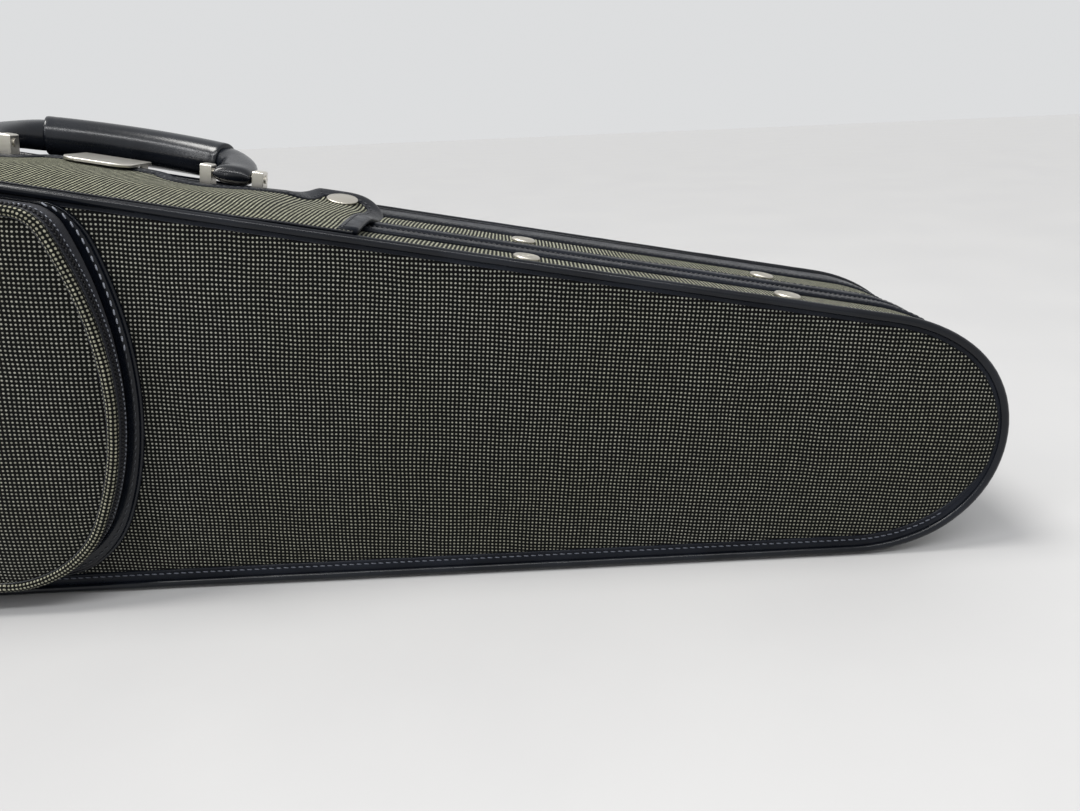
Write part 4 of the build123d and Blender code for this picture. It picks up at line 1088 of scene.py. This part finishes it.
def flap_edge(x):
    """Depth of the flap's rear edge: out over the tabs, in beside the handle posts."""
    a = np.abs(x)
    e = 74 + 24 * smooth((a - 93.5) / 11) + 6 * smooth((38 - a) / 9)
    corner = TAB_STRAIGHT + np.sqrt(np.maximum(TAB_CORNER ** 2 - np.maximum(a - TAB_FROM, 0) ** 2, 0))
    return np.where(a > TAB_FROM, np.minimum(e, corner), e)


def eased(places, keys, reach):
    """Heights read between (place, height) keys, evened out over reach steps to each side."""
    h = np.interp(places, *zip(*keys))
    n = 2 * reach + 1
    return np.convolve(np.pad(h, reach, mode="edge"), np.ones(n) / n, "valid")


REAR_X = np.arange(0.0, 142.0)
REAR_KEYS = [(0, 4.6), (20, 4.7), (28, 4.1), (36, 2.8), (50, 1.7), (64, 2.5), (79, 4.4)]
REAR_KEYS += [(93, 5.0), (105, 5.2)]
REAR_H = eased(REAR_X, REAR_KEYS, 5)  # rear edge, by distance from the middle
TAB_D = np.arange(0.0, 101.0)
TAB_KEYS = [(3.6, 1.2), (12, 1.7), (24, 2.4), (42, 2.9), (60, 2.5), (72, 2.1), (82, 2.3)]
TAB_KEYS += [(90, 3.7), (100, 6.6)]
TAB_H = eased(TAB_D, TAB_KEYS, 4)  # tabs, by depth


def flap_top(x, d):
    """Height of the flap's upper face over the rim line: it sinks between the posts and its tabs curl up."""
    a = np.abs(x)
    x, d = np.broadcast_arrays(x, d)
    body = 5.1 + 0.0404 * (d - SPLIT) - 0.00074 * (d - SPLIT) ** 2 - 1.2 * (1 - smooth((d - 3.6) / 36))
    goal = np.interp(a, REAR_X, REAR_H)
    body = body + (goal - 5.5) * smooth((d - 26) / 48)
    tab = np.interp(d, TAB_D, TAB_H) - 0.0105 * np.maximum(a - 119, 0) ** 2 * smooth((d - 30) / 50)
    fold = 0.30 * np.sin(x / 13.0 + 0.05 * d) * smooth((d - 20) / 30) * smooth((110 - a) / 30)
    return body + (tab - body) * smooth((a - 92) / 16) + fold


def hang(ob, node):
    """Fabric of the flap, sewn to the lid at its front edge: bakes its transform into the mesh and hides the
    CAD node it stands for.
    """
    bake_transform(ob)
    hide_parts(node)


def flap_cloth():
    """Woven panel of the flap, closed below, cut in at its edge for the binding."""
    ends = TAB_FROM + 14.6 * np.sin(np.linspace(0.08, math.pi / 2, 10))
    runs = ((0, 36, 14), (39, 92, 14), (94, 105, 12), (108, 125, 8))
    xs = np.concatenate([np.linspace(*run) for run in runs] + [ends])
    xs = np.concatenate([-xs[::-1], xs[1:]])
    dense = np.linspace(-FLAP_END, FLAP_END, 1400)
    edge = flap_edge(dense)
    cut = 1.4
    inner = []
    for x in xs:
        close = np.abs(dense - x) < cut
        inner.append(np.min(edge[close] - np.sqrt(cut ** 2 - (dense[close] - x) ** 2)))
    rows = np.concatenate([np.linspace(0, 0.8, 26), np.linspace(0.83, 1, 8)])
    d = FLAP_FROM + rows[None, :] * (np.array(inner)[:, None] - FLAP_FROM)
    x = np.repeat(xs[:, None], len(rows), 1)
    h = flap_top(x, d)
    upper, lower = top(x, d, h), top(x, d, h - 1.7)
    b = Build()
    uv = np.stack([x, d], -1)
    b.grid(upper, uv)
    close_panel(b, upper, lower, uv, 1)
    hang(b.make("flap_cloth", [WEAVE_SIDE, VINYL_BEAD], weld=0.02), "flap_panel")


def flap_line():
    """Edge that the binding follows, from one end of the sewn edge to the other, as (along, depth)."""
    line = [(FLAP_END, y) for y in np.linspace(FLAP_FROM + 0.4, TAB_STRAIGHT, 16)]
    for w in np.linspace(0, math.pi / 2, 14)[1:]:
        line.append((TAB_FROM + TAB_CORNER * math.cos(w), TAB_STRAIGHT + TAB_CORNER * math.sin(w)))
    runs = ((124, 106, 8), (105, 93, 16), (91, 39, 18), (38, 28, 8), (26, 0, 8))
    line += [(v, float(flap_edge(v))) for v in np.concatenate([np.linspace(*run) for run in runs])]
    line = np.array(line)
    return np.vstack([line, (line * [-1, 1])[::-1][1:]])


def inside_of(line, w):
    """The line moved inwards by w, with its points pushed off where the inner corners crowd."""
    tan = np.zeros_like(line)
    tan[1:-1] = line[2:] - line[:-2]
    tan[0], tan[-1] = line[1] - line[0], line[-1] - line[-2]
    tan = unit(tan)
    q = line + w * np.stack([-tan[:, 1], tan[:, 0]], 1)
    if w <= 0.5:
        return q
    every = np.arange(len(q))
    for _ in range(12):
        away = q[:, None, :] - line[None, :, :]
        dist = np.sqrt((away ** 2).sum(-1))
        k = dist.argmin(1)
        near = dist[every, k]
        bad = near < w - 0.02
        if not bad.any():
            break
        short = (w - near[bad]) / np.maximum(near[bad], 1e-6)
        q[bad] += away[every, k][bad] * short[:, None]
    return q


def flap_binding():
    """Vinyl binding folded round three sides of the flap, sewn along its inner edge."""
    line = flap_line()
    shape = [(0.2, -2.0), (-0.55, -1.3), (-0.75, -0.2), (-0.35, 0.75), (0.6, 1.1), (2.5, 1.12), (5.2, 1.0)]
    shape += [(6.1, 0.8), (6.9, 0.95), (7.9, 0.85), (8.5, 0.4), (8.6, -0.4), (4.0, -0.6), (3.0, -2.1)]
    p = np.zeros((len(line), len(shape), 3))
    for j, (w, rise) in enumerate(shape):
        q = inside_of(line, w)
        p[:, j] = top(q[:, 0], q[:, 1], flap_top(np.clip(q[:, 0], -FLAP_END, FLAP_END), q[:, 1]) + rise)
    b = Build()
    s = np.concatenate([[0], np.cumsum(np.linalg.norm(np.diff(line, axis=0), axis=1))])
    b.grid(p, strip_uv(s, len(shape)), close_j=True, cap_i=True)
    q = inside_of(line, 6.4)
    run = np.concatenate([[0], np.cumsum(np.linalg.norm(np.diff(q, axis=0), axis=1))])
    q = columns_at(spaced(run[-1], STITCH_PITCH), run, q)
    t = unit(np.gradient(q, axis=0))
    c = top(q[:, 0], q[:, 1], flap_top(q[:, 0], q[:, 1]) + 0.92)
    along = t[:, :1] * TOP_X + t[:, 1:] * TOP_Y
    side = -t[:, 1:] * TOP_X + t[:, :1] * TOP_Y
    beads(b, c, along, side, np.tile(TOP_Z, (len(c), 1)), (1.15, 0.33, 0.3), mat=1, tilt=0.1)
    hang(b.make("flap_edge_binding", [VINYL, STITCH]), "flap_binding")


flap_cloth()
flap_binding()


# ------------------------------------------------------------------ round fittings
def lathe(build, origin, ax, ay, az, prof, seg=40):
    """Round fitting turned about az, from (radius, height) pairs."""
    w = 2 * math.pi * np.arange(seg)[:, None] / seg
    rows = [origin + h * az + r * (np.cos(w) * ax + np.sin(w) * ay) for r, h in prof]
    build.grid(np.array(rows), None, close_j=True, cap_i=True)


CAP_X, CAP_D = 119.0, 87.0


def caps():
    """Domed snap caps on the flap's tabs, tilted as the cloth under them."""
    b = Build()
    tilt = math.atan(float(flap_top(CAP_X, CAP_D + 5) - flap_top(CAP_X, CAP_D - 6)) / 11.0)
    y = TOP_Y * math.cos(tilt) + TOP_Z * math.sin(tilt)
    z = np.cross(TOP_X, y)
    shape = [(6.8, -0.3), (7.9, -0.1), (8.25, 0.35), (8.2, 0.85), (7.8, 1.2), (7.35, 1.28), (7.0, 1.2)]
    shape += [(6.7, 1.32), (5.6, 1.62), (4.0, 1.9), (2.2, 2.05), (0.7, 2.1)]
    for side in (-1, 1):
        centre = top(side * CAP_X, CAP_D, flap_top(CAP_X, CAP_D)) + 0.25 * z
        lathe(b, centre, TOP_X, y, z, shape, 48)
    place(b.make("snap_tops", [NICKEL_DARK]), "flap", "nickel", "snap_caps")


caps()


def studs(name, body, node, places):
    """Ring-shaped snap studs on the side bands."""
    b = Build()
    shape = [(5.6, -0.6), (6.3, 0.2), (6.4, 1.0), (6.25, 1.6), (5.7, 2.05), (5.2, 2.12), (4.75, 1.95)]
    shape += [(4.5, 1.62), (4.1, 1.55), (3.0, 1.6), (2.75, 1.95), (2.3, 2.12), (1.7, 2.05), (1.3, 1.6)]
    shape += [(0.9, 1.3), (0.4, 1.25)]
    for x, d in places:
        lathe(b, top(x, d, -2.5), TOP_X, TOP_Y, TOP_Z, shape)
    place(b.make(name, [NICKEL_DARK]), body, "nickel", node)


studs("lid_rivets", "lid", "lid_studs", ((218.5, 19.0), (345.0, 19.0)))
studs("base_rivets", "base", "base_studs", ((217.5, 72.5), (348.0, 72.5)))

# ------------------------------------------------------------------ handle
LEAN = math.radians(4)
H_O = top(0, 82.5, 8.5)
H_Y = math.cos(LEAN) * TOP_Y + math.sin(LEAN) * TOP_Z
H_Z = math.cos(LEAN) * TOP_Z - math.sin(LEAN) * TOP_Y
REACH, G_HALF, SAG = 41.0, 48.5, 7.5
BOW = (G_HALF ** 2 + SAG ** 2) / (2 * SAG)  # radius of the grip's bend
TURN = math.asin(G_HALF / BOW)


def hand(x, y, z):
    """Point in the handle's frame: along its pins, out from them, and over its plane."""
    return H_O + x * TOP_X + y * H_Y + z * H_Z


def grip():
    """Leather-covered sleeve, bent, a little fuller in the middle, with rounded ends."""
    b = Build()
    ends = [(-1.0, 9.0), (-0.998, 9.7), (-0.99, 10.15), (-0.975, 10.34), (-0.95, 10.38), (-0.92, 10.36)]
    ends += [(-0.89, 10.35)]
    mids = [(t, 10.35 + 0.28 * (1 - t * t)) for t in np.linspace(-0.86, 0.86, 35)]
    stations = ends + mids + [(-t, r) for t, r in reversed(ends)]
    seg = 36
    w = 2 * math.pi * np.arange(seg) / seg
    rows = []
    for t, r in stations:
        a = t * TURN
        centre = np.array([BOW * math.sin(a), REACH - BOW + BOW * math.cos(a)])
        out = np.array([math.sin(a), math.cos(a)])
        ring = []
        for across, up in zip(np.cos(w), np.sin(w)):
            radius = r * (1.0 - 0.03 * max(0.0, -up))
            q = centre - out * radius * across
            ring.append(hand(q[0], q[1], radius * up))
        rows.append(ring)
    uv = strip_uv([t * TURN * BOW for t, _ in stations], seg, 1.8)
    b.grid(np.array(rows), uv, close_j=True, cap_i=True)
    place(b.make("grip_cover", [GRIP]), "handle", "grip", "handle_grip")


grip()

G_END = REACH - BOW + math.sqrt(BOW ** 2 - G_HALF ** 2)  # how far out the grip's ends stand
END_KEYS = [  # x, y, half across, half thick
    (47.0, G_END + 0.9, 8.5, 8.2),
    (48.9, G_END - 0.1, 8.6, 8.1),
    (51.0, G_END - 1.7, 8.75, 8.0),
    (54.5, G_END - 5.2, 9.0, 7.6),
    (57.8, G_END - 9.8, 9.2, 6.9),
    (60.3, G_END - 15.2, 9.35, 6.3),
    (61.8, 13.2, 9.45, 5.8),
    (62.8, 8.5, 9.6, 5.25),
    (63.2, 4.5, 9.7, 4.95),
    (63.25, 0.0, 9.72, 5.0),
    (63.25, -2.2, 9.7, 4.5),
    (63.25, -3.8, 9.6, 3.3),
    (63.25, -4.7, 9.4, 1.7),
]


def grip_ends():
    """Flat tapering end pieces, from the sleeve down over the pins."""
    b = Build()
    key = np.array(END_KEYS)
    tan = unit(np.gradient(key[:, :2], axis=0))
    tan[0] = (math.cos(TURN), -math.sin(TURN))
    tan[8:] = (0, -1)
    seg, rings = 32, 34
    w = 2 * math.pi * np.arange(seg) / seg
    cs, sn = np.cos(w), np.sin(w)
    t = np.linspace(0, 1, rings)
    for side in (-1, 1):
        rows = []
        for (x, y, half, thick), (tx, ty) in zip(key, tan):
            e = 0.82 if y > 20 else 0.72
            px = np.sign(cs) * np.abs(cs) ** e * half
            pz = np.sign(sn) * np.abs(sn) ** e * thick
            rows.append([hand(side * (x - ty * a), y + tx * a, up) for a, up in zip(px, pz)])
        p = np.array(rows).reshape(len(key), -1)
        fine = np.stack([np.interp(t, np.linspace(0, 1, len(key)), column) for column in p.T], 1)
        fine = fine.reshape(rings, seg, 3)
        for _ in range(2):
            fine[1:-1] = 0.25 * fine[:-2] + 0.5 * fine[1:-1] + 0.25 * fine[2:]
        b.grid(fine, strip_uv(t * 45, seg, 1.4), close_j=True, cap_i=True)
    place(b.make("grip_end_pieces", [GRIP]), "handle", "grip", "handle_ends")


grip_ends()


# ------------------------------------------------------------------ inside: linings, bed, bow holders
def lining(name, body, node, mouth, floor, back):
    """Plush lining: rolled lip at the mouth, walls and a softly padded floor."""
    b = Build()
    lip = -1 if back else 1
    middle = (mouth + floor) / 2
    wall = [(8.9, floor), (8.8, middle), (8.85, mouth), (9.3, mouth + 0.35 * lip), (9.75, mouth)]
    wall += [(9.85, mouth - 3 * lip), (9.9, middle), (10.0, floor + 4.5 * lip), (10.8, floor + 1.9 * lip)]
    wall += [(12.5, floor + 0.7 * lip), (15.0, floor + 0.4 * lip), (15.0, floor)]

    def inside(inset, depth):
        return 1.0 if inset > 9.4 else 0.0

    sweep(b, CASE, wall, wobble=ripple(0.10, 91, 80.0, inside))
    uu, vv, x, z, gap = spread(14.0, 90, 26, 1.0, 1.0)
    soft = 0.35 + 0.12 * np.sin(uu / 19.0) * np.cos(vv / 17.0) * np.clip(gap / 20, 0, 1)
    face = np.stack([x, FY + floor + lip * soft, z], -1)
    rear = np.stack([x, np.full_like(x, FY + floor - 0.1 * lip), z], -1)
    uv = np.stack([uu, vv], -1)
    b.grid(face, uv)
    close_panel(b, face, rear, uv)
    return place(b.make(name, [PLUSH], weld=0.02), body, "plush", node)


lid_plush = lining("lid_plush", "lid", "lid_lining", 44.0, 8.2, False)
base_plush = lining("base_plush", "base", "base_lining", 50.0, 111.8, True)


def read(me, what):
    """A vector of each vertex, such as its co or its normal, as rows."""
    values = np.zeros(len(me.vertices) * 3)
    me.vertices.foreach_get(what, values)
    return values.reshape(-1, 3)


def soft_copy(name, body, node, mat, slot, voxel, rounds):
    """Rounded padded piece from a CAD solid: remeshed, smoothed and a little uneven, as plush over foam."""
    bm = bmesh.new()
    bm.from_mesh(NODES[node].data)
    bmesh.ops.remove_doubles(bm, verts=bm.verts, dist=1e-6)
    me = bpy.data.meshes.new(name)
    bm.to_mesh(me)
    bm.free()
    ob = bpy.data.objects.new(name, me)
    bpy.context.scene.collection.objects.link(ob)
    bpy.context.view_layer.objects.active = ob
    r = ob.modifiers.new("remesh", "REMESH")
    r.mode = "VOXEL"
    r.voxel_size = voxel * MM
    s = ob.modifiers.new("smooth", "SMOOTH")
    s.factor = 0.5
    s.iterations = rounds
    dg = bpy.context.evaluated_depsgraph_get()
    done = bpy.data.meshes.new_from_object(ob.evaluated_get(dg))
    ob.modifiers.clear()
    ob.data = done
    co = read(done, "co")
    uneven = 0.00022 * np.sin(co[:, 0] * 190) * np.cos(co[:, 2] * 150 + co[:, 1] * 90)
    co += read(done, "normal") * uneven[:, None]
    done.vertices.foreach_set("co", co.reshape(-1))
    done.polygons.foreach_set("use_smooth", [True] * len(done.polygons))
    done.materials.clear()
    done.materials.append(mat)
    done.update()
    place(ob, body, slot, node)
    return ob


def swell(ob, cap, pressure, frames=14):
    """Inflates a closed pad with the cloth solver, each point held to a few millimetres of travel."""
    me = ob.data
    start = read(me, "co")
    c = ob.modifiers.new("cloth", "CLOTH")
    st = c.settings
    st.quality = 4
    st.mass = 0.25
    st.tension_stiffness = 14
    st.compression_stiffness = 14
    st.bending_stiffness = 2.0
    st.use_pressure = True
    st.uniform_pressure_force = pressure
    st.effector_weights.gravity = 0.0
    scene = bpy.context.scene
    for f in range(1, frames + 1):
        scene.frame_set(f)
    dg = bpy.context.evaluated_depsgraph_get()
    swollen = ob.evaluated_get(dg).data
    if len(swollen.vertices) == len(me.vertices):
        move = read(swollen, "co") - start
        size = np.linalg.norm(move, axis=1)
        share = np.minimum(1.0, cap * MM / np.maximum(size, 1e-9))
        me.vertices.foreach_set("co", (start + move * share[:, None]).reshape(-1))
    ob.modifiers.remove(c)
    scene.frame_set(1)
    me.update()


soft_copy("bed_base", "base", "bed_floor", PLUSH_BED, "foam", 4.0, 3)
soft_copy("bed_upper", "base", "bed_upper_wall", PLUSH_BED, "foam", 3.0, 5)
soft_copy("bed_lower", "base", "bed_lower_wall", PLUSH_BED, "foam", 3.0, 5)
neck = soft_copy("neck_cradle", "base", "neck_rest", PLUSH_BED, "foam", 2.5, 6)
pads = soft_copy("support_pads", "base", "suspension_pads", PLUSH, "foam", 2.5, 6)
soft_copy("bow_sleeves", "lid", "bow_tip_sleeves", PLUSH, "weave", 1.2, 2)
swell(pads, 1.6, 2.0)
swell(neck, 1.0, 1.5)

# ------------------------------------------------------------------ carried-over fittings
keep("base_shell", SHELL)
keep("lid_shell", SHELL)
keep("bow_blocks", BLOCK, 0.5)
keep("upper_turn_button", BLOCK, 0.4)
keep("lower_turn_button", BLOCK, 0.4)
keep("handle_core", BLOCK)
for n in ("handle_brackets", "latch_plate", "latch_body"):
    keep(n, NICKEL, 0.35)
for n in ("handle_pins", "hinge_pins", "base_hinge_leaves", "lid_hinge_leaves"):
    keep(n, NICKEL, 0.15)
for n in ("spine_feet", "lid_feet", "snap_sockets"):
    keep(n, NICKEL, 0.15)
for n in ("right_slider", "left_slider", "pocket_slider", "right_pull", "left_pull", "pocket_pull"):
    keep(n, NICKEL_DARK, 0.2)

# ------------------------------------------------------------------ floor, light, camera
def floor():
    """Pale matt floor under the case."""
    p = np.zeros((25, 25, 3))
    xs, ys = np.linspace(-6000, 6000, 25), np.linspace(-4000, 8000, 25)
    p[..., 0], p[..., 1] = np.meshgrid(xs, ys, indexing="ij")
    b = Build()
    b.grid(p, p[..., :2])
    m = Mat("floor_pale")
    m.set(IOR=1.45, Specular_IOR_Level=0.25)
    cloud = m.noise(m.coords(), 6.0, 4.0)
    m.into("Base Color", m.mix(m.ramp(cloud, 0.3, 0.7), (0.505, 0.503, 0.507), (0.525, 0.523, 0.525)))
    m.into("Roughness", m.ramp(cloud, 0.3, 0.7, 0.42, 0.5))
    return b.make("floor", [m.m], smooth=False)


ground = floor()

bpy.context.scene.view_settings.view_transform = "Standard"
world = bpy.data.worlds.new("studio")
bpy.context.scene.world = world
world.use_nodes = True
bg = world.node_tree.nodes["Background"]
bg.inputs[0].default_value = (0.93, 0.94, 0.95, 1.0)
bg.inputs[1].default_value = 0.775


def hung(name, data, direction, place_at=(0, 0, 0)):
    """A light in the scene, shining along a direction."""
    o = bpy.data.objects.new(name, data)
    o.location = place_at
    o.rotation_euler = Vector(direction).to_track_quat("-Z", "Y").to_euler()
    bpy.context.scene.collection.objects.link(o)


def area(name, loc, aim, size, size_y, power):
    """Rectangular light at loc, turned to aim; sizes in metres, power in watts."""
    d = bpy.data.lights.new(name, "AREA")
    d.shape = "RECTANGLE"
    d.size, d.size_y, d.energy = size, size_y, power
    hung(name, d, Vector(aim) - Vector(loc), loc)


sun = bpy.data.lights.new("sun", "SUN")
sun.energy, sun.angle, sun.color = 2.2, math.radians(22), (1.0, 0.985, 0.95)
hung("sun", sun, (0.47, 0.06, -0.88))
area("strip_over", (-0.1, -0.75, 1.15), (-0.05, 0.0, 0.15), 1.7, 0.10, 8.0)
area("strip_left", (-0.9, -0.9, 0.9), (0.0, 0.0, 0.12), 0.08, 1.0, 2.5)

LENS = 27.03333
EYE = Vector((0.1535, (FY - 362.0) * MM, 0.2213))
cam_d = bpy.data.cameras.new("camera")
cam_d.sensor_fit = "HORIZONTAL"
cam_d.sensor_width = 36.0
cam_d.lens = LENS
cam_d.clip_start, cam_d.clip_end = 0.02, 50.0
cam = bpy.data.objects.new("camera", cam_d)
bpy.context.scene.collection.objects.link(cam)
pitch, roll, yaw = math.radians(19.82), math.radians(-2.39), math.radians(-0.87)
level = Vector((math.cos(yaw), math.sin(yaw), 0))
ahead = Vector((-math.sin(yaw), math.cos(yaw), 0))
zenith = Vector((0, 0, 1))
forward = math.cos(pitch) * ahead - math.sin(pitch) * zenith
upright = math.sin(pitch) * ahead + math.cos(pitch) * zenith
right = math.cos(roll) * level + math.sin(roll) * upright
over = -math.sin(roll) * level + math.cos(roll) * upright
turned = Matrix((right, over, -forward)).transposed().to_4x4()
cam.matrix_world = Matrix.Translation(EYE) @ turned
bpy.context.scene.camera = cam
